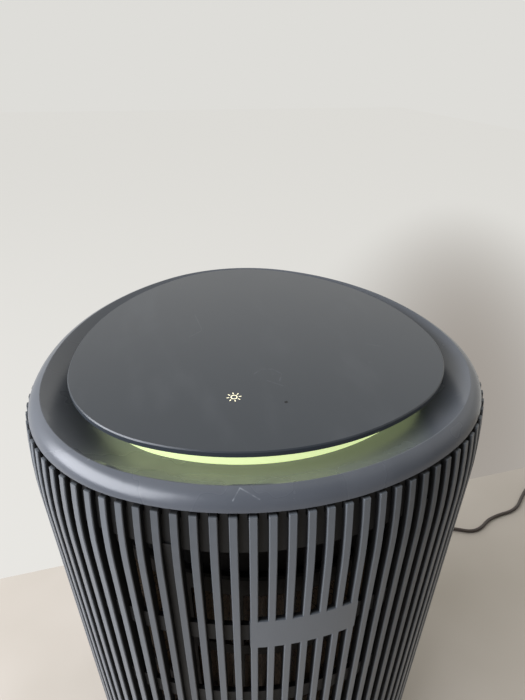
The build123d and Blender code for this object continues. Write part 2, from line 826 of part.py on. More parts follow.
def cage(outer, struts):
    """Open cage of hoops and upright struts that stands between the filter's caps."""
    low = filter_bottom + cap_thickness
    high = filter_top - cap_thickness
    ring_bottoms = [low]
    level = high - cage_ring_height
    while level > low + cage_ring_height:
        ring_bottoms.append(level)
        level -= cage_ring_pitch
    with BuildPart() as frame:
        for bottom in ring_bottoms:
            add(tube(outer, outer - cage_wall, bottom, bottom + cage_ring_height))
        with Locations((0, axis_y, low)):
            with PolarLocations(outer - cage_wall / 2, struts):
                Box(cage_wall * 0.8, cage_wall, high - low, align=(Align.CENTER, Align.CENTER, Align.MIN))
    return frame.part


filter_cage = cage(filter_radius - 0.2, cage_struts)
filter_cage.label = "filter_cage"
export_step(filter_cage, "parts/filter_cage.step")

filter_core = cage(core_radius + cage_wall, cage_struts // 2)
filter_core.label = "filter_core"
export_step(filter_core, "parts/filter_core.step")

with BuildPart() as filter_media:
    with BuildSketch(Plane.XY.offset(filter_bottom + cap_thickness)):
        with BuildLine():
            draw_pleats()
        make_face()
        with Locations((0, axis_y)):
            Circle(pleat_inner, mode=Mode.SUBTRACT)
    extrude(amount=filter_height - 2 * cap_thickness)
filter_media.part.label = "filter_media"
export_step(filter_media.part, "parts/filter_media.step")

filter_bottom_cap = tube(filter_radius, 0, filter_bottom, filter_bottom + cap_thickness)
filter_bottom_cap.label = "filter_bottom_cap"
export_step(filter_bottom_cap, "parts/filter_bottom_cap.step")

filter_top_cap = tube(filter_radius, core_radius, filter_top - cap_thickness, filter_top)
filter_top_cap.label = "filter_top_cap"
export_step(filter_top_cap, "parts/filter_top_cap.step")

filter_gasket = tube(filter_radius - gasket_inset, core_radius + gasket_inset, filter_top, gasket_top)
filter_gasket.label = "filter_gasket"
export_step(filter_gasket, "parts/filter_gasket.step")

with BuildPart() as filter_pull_tab:
    with BuildSketch(Plane.YZ):
        with BuildLine():
            root = axis_y + filter_radius
            low = filter_bottom + cap_thickness / 4
            Polyline(
                (root, low),
                (root + tab_reach, low),
                (root + tab_reach, low + tab_rise),
                (root + tab_reach - tab_strap, low + tab_rise),
                (root + tab_reach - tab_strap, low + tab_strap),
                (root, low + tab_strap),
                close=True,
            )
        make_face()
    extrude(amount=tab_width / 2, both=True)
    add(tube(filter_radius, 0, filter_bottom, filter_bottom + cap_thickness), mode=Mode.SUBTRACT)
filter_pull_tab.part.label = "filter_pull_tab"
export_step(filter_pull_tab.part, "parts/filter_pull_tab.step")

# ==== fan: deck, guard, duct, impeller, motor and stator vanes ====
with BuildPart() as fan_deck:
    with BuildSketch(Plane.XY.offset(deck_bottom)):
        with Locations((0, axis_y)):
            Circle(deck_radius)
        with Locations((0, pillar_front)):
            Rectangle(2 * pillar_outer, pillar_back - pillar_front, align=(Align.CENTER, Align.MIN))
        sensor_middle = polar(deck_radius, -30)
        with Locations(Location((sensor_middle.X, sensor_middle.Y), -30)):
            Rectangle(2 * sensor_depth, sensor_width)
        with Locations((0, axis_y)):
            Circle(inlet_radius, mode=Mode.SUBTRACT)
        with Locations(*pillar_screws_xy):
            Circle(screw_radius + screw_fit, mode=Mode.SUBTRACT)
    extrude(amount=deck_thickness)
fan_deck.part.label = "fan_deck"
export_step(fan_deck.part, "parts/fan_deck.step")

with BuildPart() as inlet_guard:
    with BuildSketch(Plane.XY.offset(deck_bottom)):
        with Locations((0, axis_y)):
            for radius in range(guard_pitch, int(inlet_radius - guard_pitch / 2), guard_pitch):
                Circle(radius + guard_wire / 2)
                Circle(radius - guard_wire / 2, mode=Mode.SUBTRACT)
            Circle(guard_wire * 2)
            with PolarLocations(0, 4, angular_range=180):
                Rectangle(2 * inlet_radius - guard_wire, guard_wire)
        with BuildLine():
            CenterArc((0, axis_y), inlet_radius - guard_gap, 0, 360)
        make_face(mode=Mode.INTERSECT)
    extrude(amount=guard_wire)
    guard_radius = inlet_radius - guard_gap
    add(tube(guard_radius, guard_radius - guard_wire, deck_bottom, deck_bottom + guard_wire))
inlet_guard.part.label = "inlet_guard"
export_step(inlet_guard.part, "parts/inlet_guard.step")


def duct_face(level):
    """Radius of the duct's inner face, which widens from the inlet to the outlet."""
    share = min(1.0, (level - deck_top) / duct_rise)
    return inlet_radius + (duct_radius - inlet_radius) * share**2


def hub_face(level):
    """Radius of the impeller's hub, which widens upwards."""
    share = (level - fan_bottom) / fan_height
    return hub_inlet_radius + (hub_outlet_radius - hub_inlet_radius) * share**1.5


with BuildPart() as fan_duct:
    with BuildSketch(Plane.XZ.offset(-axis_y)):
        with BuildLine():
            levels = (deck_top, deck_top + duct_rise / 2, deck_top + duct_rise)
            inner = [(duct_face(level), level) for level in levels]
            outer = [(radius + duct_wall, level) for radius, level in reversed(inner)]
            ThreePointArc(*inner)
            Polyline(
                inner[-1],
                (duct_radius, ring_seat),
                (fan_cover_radius, ring_seat),
                (fan_cover_radius, flange_bottom),
                (duct_radius + duct_wall, flange_bottom),
                outer[0],
            )
            ThreePointArc(*outer)
            Line(outer[-1], inner[0])
        make_face()
    revolve(axis=Axis((0, axis_y, 0), (0, 0, 1)))
    add(tube(inlet_radius + duct_foot, inlet_radius + duct_wall / 2, deck_top, deck_top + duct_wall))
fan_duct.part.label = "fan_duct"
export_step(fan_duct.part, "parts/fan_duct.step")

fan_cover = tube(fan_cover_radius, fan_cover_radius - fan_cover_wall, deck_top, flange_bottom)
fan_cover.label = "fan_cover"
export_step(fan_cover, "parts/fan_cover.step")

with BuildPart() as blade_space:
    with BuildSketch(Plane.XZ.offset(-axis_y)):
        with BuildLine():
            levels = (fan_bottom, fan_bottom + fan_height / 2, fan_top)
            tips = [(duct_face(level) - blade_tip_gap, level) for level in levels]
            roots = [(hub_face(level) - 1, level) for level in reversed(levels)]
            ThreePointArc(*tips)
            Line(tips[-1], roots[0])
            ThreePointArc(*roots)
            Line(roots[-1], tips[0])
        make_face()
    revolve(axis=Axis((0, axis_y, 0), (0, 0, 1)))

with BuildPart() as blades:
    with BuildSketch(Plane((0, axis_y, fan_bottom))):
        with BuildLine():
            ThreePointArc(
                (hub_inlet_radius / 2, 0),
                (duct_radius * 0.6 * math.cos(0.35), duct_radius * 0.6 * math.sin(0.35)),
                (duct_radius * math.cos(0.95), duct_radius * math.sin(0.95)),
            )
        trace(line_width=blade_thickness)
    extrude(amount=fan_height)
    one_blade = blades.part

with BuildPart() as impeller:
    turns = [360 * number / blade_count for number in range(blade_count)]
    with Locations(*[Location((0, axis_y, 0), (0, 0, turn)) for turn in turns]):
        add(Pos(0, -axis_y, 0) * one_blade)
    add(blade_space.part, mode=Mode.INTERSECT)
    with BuildSketch(Plane.XZ.offset(-axis_y)):
        with BuildLine():
            hub = [(hub_face(level), level) for level in (fan_bottom, fan_bottom + fan_height / 2, fan_top)]
            hub_inside = [(radius - hub_wall, level) for radius, level in reversed(hub)]
            ThreePointArc(*hub)
            Polyline(
                hub[-1],
                (hub_inside[0][0], fan_top),
                (hub_inside[1][0], fan_bottom + fan_height / 2),
                (hub_inside[2][0], fan_bottom + hub_wall),
                (shaft_radius + hub_wall, fan_bottom + hub_wall),
                (shaft_radius + hub_wall, fan_top - hub_wall),
                (shaft_radius, fan_top - hub_wall),
                (shaft_radius, fan_bottom),
                hub[0],
            )
        make_face()
    revolve(axis=Axis((0, axis_y, 0), (0, 0, 1)))
impeller.part.label = "impeller"
export_step(impeller.part, "parts/impeller.step")

nut_height = fan_bottom_gap / 2
with BuildPart() as impeller_nut:
    with BuildSketch(Plane((0, axis_y, fan_bottom - nut_height))):
        RegularPolygon(1.8 * shaft_radius, 6)
        Circle(shaft_radius, mode=Mode.SUBTRACT)
    extrude(amount=nut_height)
impeller_nut.part.label = "impeller_nut"
export_step(impeller_nut.part, "parts/impeller_nut.step")

motor_shaft = tube(shaft_radius, 0, fan_bottom - nut_height, can_top - 2 * motor_wall)
motor_shaft.label = "motor_shaft"
export_step(motor_shaft, "parts/motor_shaft.step")

with BuildPart() as motor_can:
    add(tube(motor_radius, motor_radius - motor_wall, can_bottom, can_top - motor_wall))
    add(tube(motor_radius, shaft_radius + 1, can_bottom, can_bottom + motor_wall))
    seat_top = can_bottom + motor_wall + bearing_width
    add(tube(bearing_radius + motor_wall, bearing_radius, can_bottom, seat_top))
motor_can.part.label = "motor_can"
export_step(motor_can.part, "parts/motor_can.step")

with BuildPart() as motor_cap:
    add(tube(motor_radius, 0, can_top - motor_wall, can_top))
    add(tube(bearing_radius + motor_wall, bearing_radius, can_top - motor_wall - bearing_width, can_top))
motor_cap.part.label = "motor_cap"
export_step(motor_cap.part, "parts/motor_cap.step")

low_bearing = can_bottom + motor_wall
high_bearing = can_top - motor_wall - bearing_width
with BuildPart() as motor_bearings:
    for level in (low_bearing, high_bearing):
        add(tube(bearing_radius, shaft_radius + shaft_fit, level, level + bearing_width))
motor_bearings.part.label = "motor_bearings"
export_step(motor_bearings.part, "parts/motor_bearings.step")

rotor_bottom = low_bearing + bearing_width + 1
rotor_top = high_bearing - 1
motor_rotor = tube(rotor_radius, shaft_radius, rotor_bottom, rotor_top)
motor_rotor.label = "motor_rotor"
export_step(motor_rotor, "parts/motor_rotor.step")

with BuildPart() as motor_stator:
    with BuildSketch(Plane((0, axis_y, rotor_bottom - 2))):
        Circle(motor_radius - motor_wall)
        Circle(rotor_radius + stator_gap, mode=Mode.SUBTRACT)
        with PolarLocations((rotor_radius + motor_radius) / 2, 12):
            Circle(1.6, mode=Mode.SUBTRACT)
    extrude(amount=rotor_top - rotor_bottom + 4)
motor_stator.part.label = "motor_stator"
export_step(motor_stator.part, "parts/motor_stator.step")

vane_bottom = deck_top + duct_rise
vane_rise = ring_seat - vane_bottom
with BuildPart() as diffuser:
    with Locations((0, axis_y, vane_bottom)):
        with PolarLocations(cup_radius - motor_wall, stator_vanes):
            Box(
                duct_radius - guard_gap - cup_radius + motor_wall - 1,
                duct_wall,
                vane_rise,
                align=(Align.MIN, Align.CENTER, Align.MIN),
            )
    add(tube(cup_radius, cup_radius - motor_wall, cup_bottom, cup_bottom + cup_height))
    add(tube(cup_radius, 2 * shaft_radius, cup_bottom, can_bottom))
    add(tube(duct_radius - guard_gap, duct_radius - guard_gap - motor_wall, vane_bottom, ring_seat))
diffuser.part.label = "diffuser"
export_step(diffuser.part, "parts/diffuser.step")

control_y = axis_y - fan_cover_radius + fan_cover_wall + control_inset
with BuildPart() as control_board:
    with Locations((0, control_y, deck_top + board_thickness)):
        Box(control_width, board_thickness, control_height, align=(Align.CENTER, Align.MIN, Align.MIN))
    chip_level = deck_top + board_thickness + control_height / 2
    with Locations(*[(x, control_y + board_thickness / 2, chip_level) for x in chip_places]):
        Box(chip_width, chip_depth, chip_height, align=(Align.CENTER, Align.MIN, Align.CENTER))
control_board.part.label = "control_board"
export_step(control_board.part, "parts/control_board.step")

with BuildPart() as air_sensor:
    with Locations(Location((sensor_middle.X, sensor_middle.Y, deck_top), (0, 0, -30))):
        Box(sensor_depth, sensor_width - 4, sensor_height, align=(Align.MIN, Align.CENTER, Align.MIN))
        with Locations((sensor_depth, 0, sensor_height / 2)):
            Box(2, sensor_width / 2, sensor_height / 2, mode=Mode.SUBTRACT)
air_sensor.part.label = "air_sensor"
export_step(air_sensor.part, "parts/air_sensor.step")

# ==== mains cord: lead on the floor, stored coil, tail and plug ====
gland_end = gland_face + relief_length
coil_y = gland_end + coil_back
coil_outer_turn = coil_turn_radius + cord_diameter
coil_join = (coil_x, coil_y + coil_outer_turn, cord_radius)
lead_points = [
    (0, gland_end, gland_height),
    (1, gland_end + 18, 6.8),
    (12, gland_end + 35, 3.9),
    (33, gland_end + 45, cord_radius),
    (66, gland_end + 47, cord_radius),
    (118, gland_end + 44, cord_radius),
    (172, gland_end + 37, cord_radius),
    (228, gland_end + 34, cord_radius),
    (283, gland_end + 36, cord_radius),
    (328, gland_end + 38, cord_radius),
    (360, gland_end + 36, cord_radius),
    (382, gland_end + 28, cord_radius),
    (403, gland_end + 18, cord_radius),
    (424, gland_end + 21, cord_radius),
    (445, gland_end + 34, cord_radius),
    (470, gland_end + 40, cord_radius),
    (495, gland_end + 42, cord_radius),
    (515, gland_end + 50, cord_radius),
    (534, gland_end + 66, cord_radius),
    (555, gland_end + 82, cord_radius),
    (580, gland_end + 96, cord_radius),
    (603, coil_join[1], cord_radius),
    coil_join,
]
tail_start = (coil_x + coil_outer_turn, coil_y, 3 * cord_radius)
tail_points = [
    tail_start,
    (tail_start[0] - 1.5, coil_y - 18, 2.8 * cord_radius),
    (tail_start[0] - 6, coil_y - 35, plug_height / 2),
]


def corner_radii(points):
    """Arc radius at each inner point: 0.45 of the shorter run over the half turn's tangent."""
    radii = []
    for before, here, after in zip(points, points[1:], points[2:]):
        arriving = Vector(*here) - Vector(*before)
        leaving = Vector(*after) - Vector(*here)
        half_turn = math.radians(arriving.get_angle(leaving) / 2)
        radii.append(0.45 * min(arriving.length, leaving.length) / math.tan(half_turn))
    return radii


def cord_tube(points):
    """Round tube along straight runs joined by tangent arcs."""
    with BuildPart() as cord:
        with BuildLine() as route:
            FilletPolyline(*points, radius=corner_radii(points))
        with BuildSketch(Plane(origin=route.wires()[0] @ 0, z_dir=route.wires()[0] % 0)):
            Circle(cord_radius)
        sweep()
    section = math.pi * cord_radius**2
    length = route.wires()[0].length
    radii = [round(radius) for radius in corner_radii(points)]
    print(f"cord tube {length:.0f} long, volume over section {cord.part.volume / section:.0f}, radii {radii}")
    return cord.part, length


cord_lead, lead_length = cord_tube(lead_points)
cord_lead.label = "cord_lead"
export_step(cord_lead, "parts/cord_lead.step")

cord_tail, tail_length = cord_tube(tail_points)
cord_tail.label = "cord_tail"
export_step(cord_tail, "parts/cord_tail.step")

coil_inner = coil_turn_radius - 1.5 * cord_diameter
coil_outer = coil_turn_radius + 1.5 * cord_diameter
cord_coil = tube(coil_outer, coil_inner, 0, 2 * cord_diameter, Vector(coil_x, coil_y))
cord_coil.label = "cord_coil"
export_step(cord_coil, "parts/cord_coil.step")
coil_length = 2 * math.pi * coil_turn_radius * coil_turns
print(f"cord length {(lead_length + coil_length + tail_length + relief_length):.0f}")

plug_direction = (Vector(*tail_points[-1]) - Vector(*tail_points[-2])).normalized()
plug_direction = Vector(plug_direction.X, plug_direction.Y, 0).normalized()
plug_plane = Plane(origin=tail_points[-1], z_dir=plug_direction, x_dir=plug_direction.cross(Vector(0, 0, 1)))
with BuildPart() as plug_body:
    with BuildSketch(plug_plane):
        Circle(cord_radius + plug_collar)
    with BuildSketch(plug_plane.offset(plug_neck)):
        SlotOverall(plug_width * plug_waist, plug_height * plug_shoulder)
    loft()
    with BuildSketch(plug_plane.offset(plug_neck)):
        SlotOverall(plug_width * plug_waist, plug_height * plug_shoulder)
    with BuildSketch(plug_plane.offset(plug_length * plug_shoulder)):
        SlotOverall(plug_width, plug_height)
    loft()
    with BuildSketch(plug_plane.offset(plug_length * plug_shoulder)):
        SlotOverall(plug_width, plug_height)
    extrude(amount=plug_length * (1 - plug_shoulder))
plug_body.part.label = "plug_body"
export_step(plug_body.part, "parts/plug_body.step")

with BuildPart() as plug_pins:
    with BuildSketch(plug_plane.offset(plug_length)):
        with Locations((-pin_spacing / 2, 0), (pin_spacing / 2, 0)):
            Circle(pin_radius)
    extrude(amount=pin_length)
    fillet(plug_pins.edges().filter_by(GeomType.CIRCLE).sort_by(Axis.Y)[0:2], pin_radius / 2)
plug_pins.part.label = "plug_pins"
export_step(plug_pins.part, "parts/plug_pins.step")
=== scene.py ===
"""Finishes, cord, light and camera for the three-lobed tower air purifier.

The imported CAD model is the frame. Its casings, ribs, lid and inner parts keep their
shape and get moulded-plastic, paper, metal and lit-acrylic finishes. The mains cord, the
filter's foam ring and its tape strap are built here. All lengths are in metres unless a
name ends in _mm, and all angles are in degrees unless a comment says otherwise.
"""

from __future__ import annotations

import json
import logging
import math
from dataclasses import dataclass
from enum import Enum
from typing import Any, Sequence

import bpy
from mathutils import Matrix, Vector


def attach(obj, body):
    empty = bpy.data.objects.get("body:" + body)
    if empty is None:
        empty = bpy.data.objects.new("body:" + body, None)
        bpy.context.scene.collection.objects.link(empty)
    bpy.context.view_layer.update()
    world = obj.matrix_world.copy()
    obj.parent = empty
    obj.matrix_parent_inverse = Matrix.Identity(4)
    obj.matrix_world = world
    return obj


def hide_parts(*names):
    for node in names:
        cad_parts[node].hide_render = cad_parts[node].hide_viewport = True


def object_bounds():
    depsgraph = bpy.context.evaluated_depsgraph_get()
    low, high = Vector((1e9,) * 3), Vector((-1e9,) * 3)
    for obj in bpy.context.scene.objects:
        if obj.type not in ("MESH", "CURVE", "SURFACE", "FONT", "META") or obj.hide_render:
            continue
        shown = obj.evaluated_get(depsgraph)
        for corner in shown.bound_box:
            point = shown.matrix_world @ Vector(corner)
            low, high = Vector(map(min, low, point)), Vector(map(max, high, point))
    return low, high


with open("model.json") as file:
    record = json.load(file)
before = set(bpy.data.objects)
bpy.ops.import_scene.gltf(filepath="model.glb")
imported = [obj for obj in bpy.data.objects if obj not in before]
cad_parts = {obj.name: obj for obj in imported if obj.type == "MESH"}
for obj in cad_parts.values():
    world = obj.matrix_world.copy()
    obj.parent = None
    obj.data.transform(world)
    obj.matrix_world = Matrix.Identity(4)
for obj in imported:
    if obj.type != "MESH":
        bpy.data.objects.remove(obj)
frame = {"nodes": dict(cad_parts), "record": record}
CAD_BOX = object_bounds()
MM = 0.001
WAVE_TURN = 6.28  # divides the band pattern's scale, so a light and a dark band span two threads

log = logging.getLogger("air_purifier")

Colour = tuple[float, float, float, float]
Point = tuple[float, float, float]


def linear(hex_colour: str) -> Colour:
    """Turn an sRGB hex colour into linear RGBA.

    Args:
        hex_colour: Six hex digits, with or without a leading hash.

    Returns:
        Linear red, green, blue and an alpha of 1.
    """
    digits = hex_colour.lstrip("#")
    channels = [int(digits[i : i + 2], 16) / 255 for i in (0, 2, 4)]
    red, green, blue = [c / 12.92 if c <= 0.04045 else ((c + 0.055) / 1.055) ** 2.4 for c in channels]
    return red, green, blue, 1.0


def add_node(
    tree: bpy.types.NodeTree, kind: str, inputs: dict[Any, Any] | None = None, **settings: Any
) -> Any:
    """Add a shader node with its settings and links.

    Args:
        tree: Node tree that gets the node.
        kind: Type of the node without the ShaderNode prefix.
        inputs: Input name or number to a plain value or to an output socket to link.
        **settings: Properties of the node, such as operation or blend_type.

    Returns:
        The new node.
    """
    node = tree.nodes.new(f"ShaderNode{kind}")
    for name, value in settings.items():
        setattr(node, name, value)
    for name, value in (inputs or {}).items():
        if isinstance(value, bpy.types.NodeSocket):
            tree.links.new(value, node.inputs[name])
        else:
            node.inputs[name].default_value = value
    return node


def clean_tree(material: bpy.types.Material) -> tuple[bpy.types.NodeTree, Any, Any]:
    """Empty a material and give it a bare shader.

    Args:
        material: Material to start afresh.

    Returns:
        The node tree, its shader node and the object-space coordinate socket.
    """
    material.use_nodes = True
    tree = material.node_tree
    tree.nodes.clear()
    shader = add_node(tree, "BsdfPrincipled")
    add_node(tree, "OutputMaterial", {"Surface": shader.outputs["BSDF"]})
    place = add_node(tree, "TexCoord").outputs["Object"]
    return tree, shader, place


def noise(
    tree: bpy.types.NodeTree, place: Any, size_mm: float, detail: float = 2.0, seed: float = 0.0
) -> Any:
    """Noise whose patches have a real size.

    Args:
        tree: Node tree to add to.
        place: Coordinate socket.
        size_mm: Width of one patch in millimetres.
        detail: Octaves of finer noise on top.
        seed: Offset along the fourth axis, to tell patterns apart.

    Returns:
        The socket with values from 0 to 1.
    """
    settings = {"Vector": place, "W": seed, "Scale": 1 / (size_mm * MM), "Detail": detail}
    return add_node(tree, "TexNoise", settings, noise_dimensions="4D").outputs["Fac"]


def remap(
    tree: bpy.types.NodeTree,
    value: Any,
    low: float,
    high: float,
    to_low: float = 0.0,
    to_high: float = 1.0,
) -> Any:
    """Smoothly carry one range of a value to another.

    Args:
        tree: Node tree to add to.
        value: Socket with the value.
        low: Value that becomes to_low.
        high: Value that becomes to_high.
        to_low: Result at or below low.
        to_high: Result at or above high.

    Returns:
        The socket with the new value.
    """
    inputs = {"Value": value, "From Min": low, "From Max": high, "To Min": to_low, "To Max": to_high}
    return add_node(tree, "MapRange", inputs, interpolation_type="SMOOTHSTEP").outputs["Result"]


def math_node(tree: bpy.types.NodeTree, operation: str, first: Any, second: Any = 0.0) -> Any:
    """Socket with the result of one arithmetic step on two sockets or numbers."""
    return add_node(tree, "Math", {0: first, 1: second}, operation=operation).outputs[0]


def vector_node(
    tree: bpy.types.NodeTree, operation: str, first: Any, second: Any = (0, 0, 0), output: str = "Vector"
) -> Any:
    """Socket with the result of one vector step on two sockets or vectors."""
    return add_node(tree, "VectorMath", {0: first, 1: second}, operation=operation).outputs[output]


def mix(tree: bpy.types.NodeTree, share: Any, first: Any, second: Any) -> Any:
    """Socket with a colour between two, by a share from 0 to 1."""
    node = add_node(tree, "Mix", data_type="RGBA")
    for index, value in ((0, share), (6, first), (7, second)):
        if isinstance(value, bpy.types.NodeSocket):
            tree.links.new(value, node.inputs[index])
        else:
            node.inputs[index].default_value = value
    return node.outputs[2]


def scratch(tree: bpy.types.NodeTree, place: Any, start: Point, end: Point, width_mm: float) -> Any:
    """Mask of one fine straight scratch.

    Args:
        tree: Node tree to add to.
        place: Coordinate socket.
        start: One end, in metres.
        end: Other end, in metres.
        width_mm: Width over which the scratch fades out.

    Returns:
        The socket, 1 on the scratch and 0 away from it.
    """
    along = Vector(end) - Vector(start)
    from_start = vector_node(tree, "SUBTRACT", place, start)
    share = vector_node(tree, "DOT_PRODUCT", from_start, tuple(along / along.length_squared), "Value")
    share = add_node(tree, "Clamp", {"Value": share}).outputs[0]
    scaled = add_node(tree, "VectorMath", {0: tuple(along), "Scale": share}, operation="SCALE").outputs[0]
    gap = vector_node(tree, "DISTANCE", from_start, scaled, "Value")
    return remap(tree, gap, 0.0, width_mm * MM, 1.0, 0.0)


def strongest(tree: bpy.types.NodeTree, masks: Sequence[Any]) -> Any:
    """Socket with the largest of several masks."""
    result = masks[0]
    for mask in masks[1:]:
        result = math_node(tree, "MAXIMUM", result, mask)
    return result


@dataclass(frozen=True)
class LobedOutline:
    """Plan of the body: a circle with three low lobes, one of them at the back.

    The sides stand straight about the middle level and bend inwards towards both ends.
    """

    mean_radius_mm: float = 145.5
    lobe_mm: float = 4.8
    lobe_side_mm: float = 62.0
    bend_mm: float = 3.2
    bend_length_mm: float = 44.0
    straight_half_mm: float = 201.5
    middle_mm: float = 261.0

    def depth(self, tree: bpy.types.NodeTree, place: Any) -> Any:
        """How deep a point lies behind the faces of the ribs.

        Args:
            tree: Node tree to add to.
            place: Coordinate socket.

        Returns:
            The socket with the depth in millimetres.
        """
        axis_y = (self.lobe_side_mm / 2 - self.lobe_side_mm / math.sqrt(3)) * MM
        flat = vector_node(tree, "MULTIPLY", vector_node(tree, "SUBTRACT", place, (0, axis_y, 0)), (1, 1, 0))
        radius = vector_node(tree, "LENGTH", flat, output="Value")
        outward = vector_node(tree, "NORMALIZE", flat)
        toward_back = add_node(tree, "SeparateXYZ", {0: outward}).outputs["Y"]
        cube = math_node(tree, "MULTIPLY", math_node(tree, "POWER", toward_back, 3.0), 4.0)
        lobes = math_node(tree, "SUBTRACT", cube, math_node(tree, "MULTIPLY", toward_back, 3.0))
        level = add_node(tree, "SeparateXYZ", {0: place}).outputs["Z"]
        off_middle = math_node(tree, "ABSOLUTE", math_node(tree, "SUBTRACT", level, self.middle_mm * MM))
        past = math_node(tree, "SUBTRACT", off_middle, self.straight_half_mm * MM)
        share = math_node(tree, "DIVIDE", past, self.bend_length_mm * MM)
        bent = add_node(tree, "Clamp", {"Value": share}).outputs[0]
        inset = math_node(tree, "MULTIPLY", math_node(tree, "MULTIPLY", bent, bent), self.bend_mm)
        face = math_node(tree, "ADD", math_node(tree, "MULTIPLY", lobes, self.lobe_mm), self.mean_radius_mm)
        deep = math_node(tree, "SUBTRACT", face, math_node(tree, "MULTIPLY", radius, 1 / MM))
        return math_node(tree, "SUBTRACT", deep, inset)


@dataclass(frozen=True)
class Scratch:
    """A fine straight scratch between two points, in millimetres of the row frame."""

    start: Point
    end: Point
    width_mm: float = 0.5


@dataclass(frozen=True)
class MouldedPlastic:
    """Injection-moulded plastic with a fine spark-eroded grain.

    The grain breaks the highlight into a satin sheen. Slow patches of handling and
    cooling change the gloss and the tone a little. A real grain is a few hundredths of a
    millimetre across, so grain_mm draws it coarser, to show at all. Behind the faces of
    the ribs the colour is darkened with depth as painted shade, over the depths in
    recess_mm, and the plastic is made duller there by recess_gloss.
    """

    name: str
    colour: str
    roughness: float
    grain_mm: float = 0.9
    grain_depth_mm: float = 0.012
    patch_mm: float = 60.0
    tone_shift: float = 0.06
    gloss_shift: float = 0.06
    smudges: float = 0.0
    smudge_colour: str = "#8C9096"
    smudge_gloss: float = 0.35
    scratches: tuple[Scratch, ...] = ()
    scratch_colour: str = "#AEB4BA"
    scratch_strength: float = 0.4
    dent: Point | None = None
    dent_mm: float = 1.5
    dent_colour: str = "#0B0B0C"
    dent_gloss: float = 0.5
    # share of the colour left deepest behind the rib faces: painted shade
    recess_painted_shade: float = 1.0
    recess_mm: tuple[float, float] = (0.15, 2.0)
    recess_gloss: float = 0.3
    specular: float = 0.5

    def smeared(self, tree: bpy.types.NodeTree, place: Any) -> Any:
        """Mask of wiped films and of small dried spots.

        Args:
            tree: Node tree to add to.
            place: Coordinate socket.

        Returns:
            The socket, from 0 on clean plastic up to the finish's share of smudges.
        """
        wipe = add_node(tree, "Mapping", {"Vector": place, "Rotation": (0, 0, 0.9), "Scale": (1, 0.35, 1)})
        cloud = noise(tree, wipe.outputs["Vector"], 26, 5, 4.2)
        spots = noise(tree, place, 5, 2, 8.1)
        film = math_node(tree, "MULTIPLY", remap(tree, cloud, 0.52, 0.72), self.smudges)
        dust = math_node(tree, "MULTIPLY", remap(tree, spots, 0.70, 0.78), self.smudges * 0.8)
        return math_node(tree, "MAXIMUM", film, dust)

    def scored(self, tree: bpy.types.NodeTree, place: Any) -> Any:
        """Mask of the fine scratches, broken up along their length.

        Args:
            tree: Node tree to add to.
            place: Coordinate socket.

        Returns:
            The socket, from 0 away from the scratches up to scratch_strength.
        """
        masks = [
            scratch(tree, place, tuple(c * MM for c in s.start), tuple(c * MM for c in s.end), s.width_mm)
            for s in self.scratches
        ]
        broken = remap(tree, noise(tree, place, 2.5, 2, 6.3), 0.25, 0.6, 0.0, self.scratch_strength)
        return math_node(tree, "MULTIPLY", strongest(tree, masks), broken)

    def pitted(self, tree: bpy.types.NodeTree, place: Any, centre_mm: Point) -> Any:
        """Mask of one small chip with a ragged edge.

        Args:
            tree: Node tree to add to.
            place: Coordinate socket.
            centre_mm: Middle of the chip, in millimetres.

        Returns:
            The socket, 1 in the chip and 0 away from it.
        """
        centre = tuple(c * MM for c in centre_mm)
        wobble = math_node(tree, "MULTIPLY", noise(tree, place, 1.2, 3, 2.6), self.dent_mm * MM)
        gap = math_node(tree, "ADD", vector_node(tree, "DISTANCE", place, centre, "Value"), wobble)
        return remap(tree, gap, self.dent_mm * MM, self.dent_mm * 1.25 * MM, 1.0, 0.0)

    def build(self) -> bpy.types.Material:
        """Make the material.

        Returns:
            The new material.
        """
        material = bpy.data.materials.new(self.name)
        tree, shader, place = clean_tree(material)
        patches = noise(tree, place, self.patch_mm, 3, 1.7)
        base = linear(self.colour)
        darker = tuple(c * (1 - self.tone_shift) for c in base[:3]) + (1.0,)
        lighter = tuple(c * (1 + self.tone_shift) for c in base[:3]) + (1.0,)
        colour = mix(tree, remap(tree, patches, 0.3, 0.7), darker, lighter)
        glossy, dull = self.roughness - self.gloss_shift, self.roughness + self.gloss_shift
        gloss = remap(tree, patches, 0.3, 0.7, glossy, dull)
        height = noise(tree, place, self.grain_mm, 2)
        if self.smudges > 0:
            smear = self.smeared(tree, place)
            colour = mix(tree, smear, colour, linear(self.smudge_colour))
            gloss = math_node(tree, "ADD", gloss, math_node(tree, "MULTIPLY", smear, self.smudge_gloss))
        if self.scratches:
            lines = self.scored(tree, place)
            colour = mix(tree, lines, colour, linear(self.scratch_colour))
            height = math_node(tree, "SUBTRACT", height, lines)
        if self.dent is not None:
            pit = self.pitted(tree, place, self.dent)
            colour = mix(tree, pit, colour, linear(self.dent_colour))
            gloss = math_node(tree, "ADD", gloss, math_node(tree, "MULTIPLY", pit, self.dent_gloss))
            height = math_node(tree, "SUBTRACT", height, pit)
        # painted shade: the colour darkens with depth behind the rib faces, where the shadow falls; the
        # roughness rises there too
        if self.recess_painted_shade < 1:
            depth = LobedOutline().depth(tree, place)
            tone = remap(tree, depth, *self.recess_mm, 1.0, self.recess_painted_shade)
            colour = add_node(tree, "VectorMath", {0: colour, "Scale": tone}, operation="SCALE").outputs[0]
            dulled = remap(tree, depth, *self.recess_mm, 0.0, self.recess_gloss)
            gloss = math_node(tree, "ADD", gloss, dulled)
        grain = {"Height": height, "Strength": 0.6, "Distance": self.grain_depth_mm * MM}
        bump = add_node(tree, "Bump", grain)
        tree.links.new(colour, shader.inputs["Base Color"])
        tree.links.new(gloss, shader.inputs["Roughness"])
        tree.links.new(bump.outputs["Normal"], shader.inputs["Normal"])
        shader.inputs["IOR"].default_value = 1.53
        shader.inputs["Specular IOR Level"].default_value = self.specular
        return material


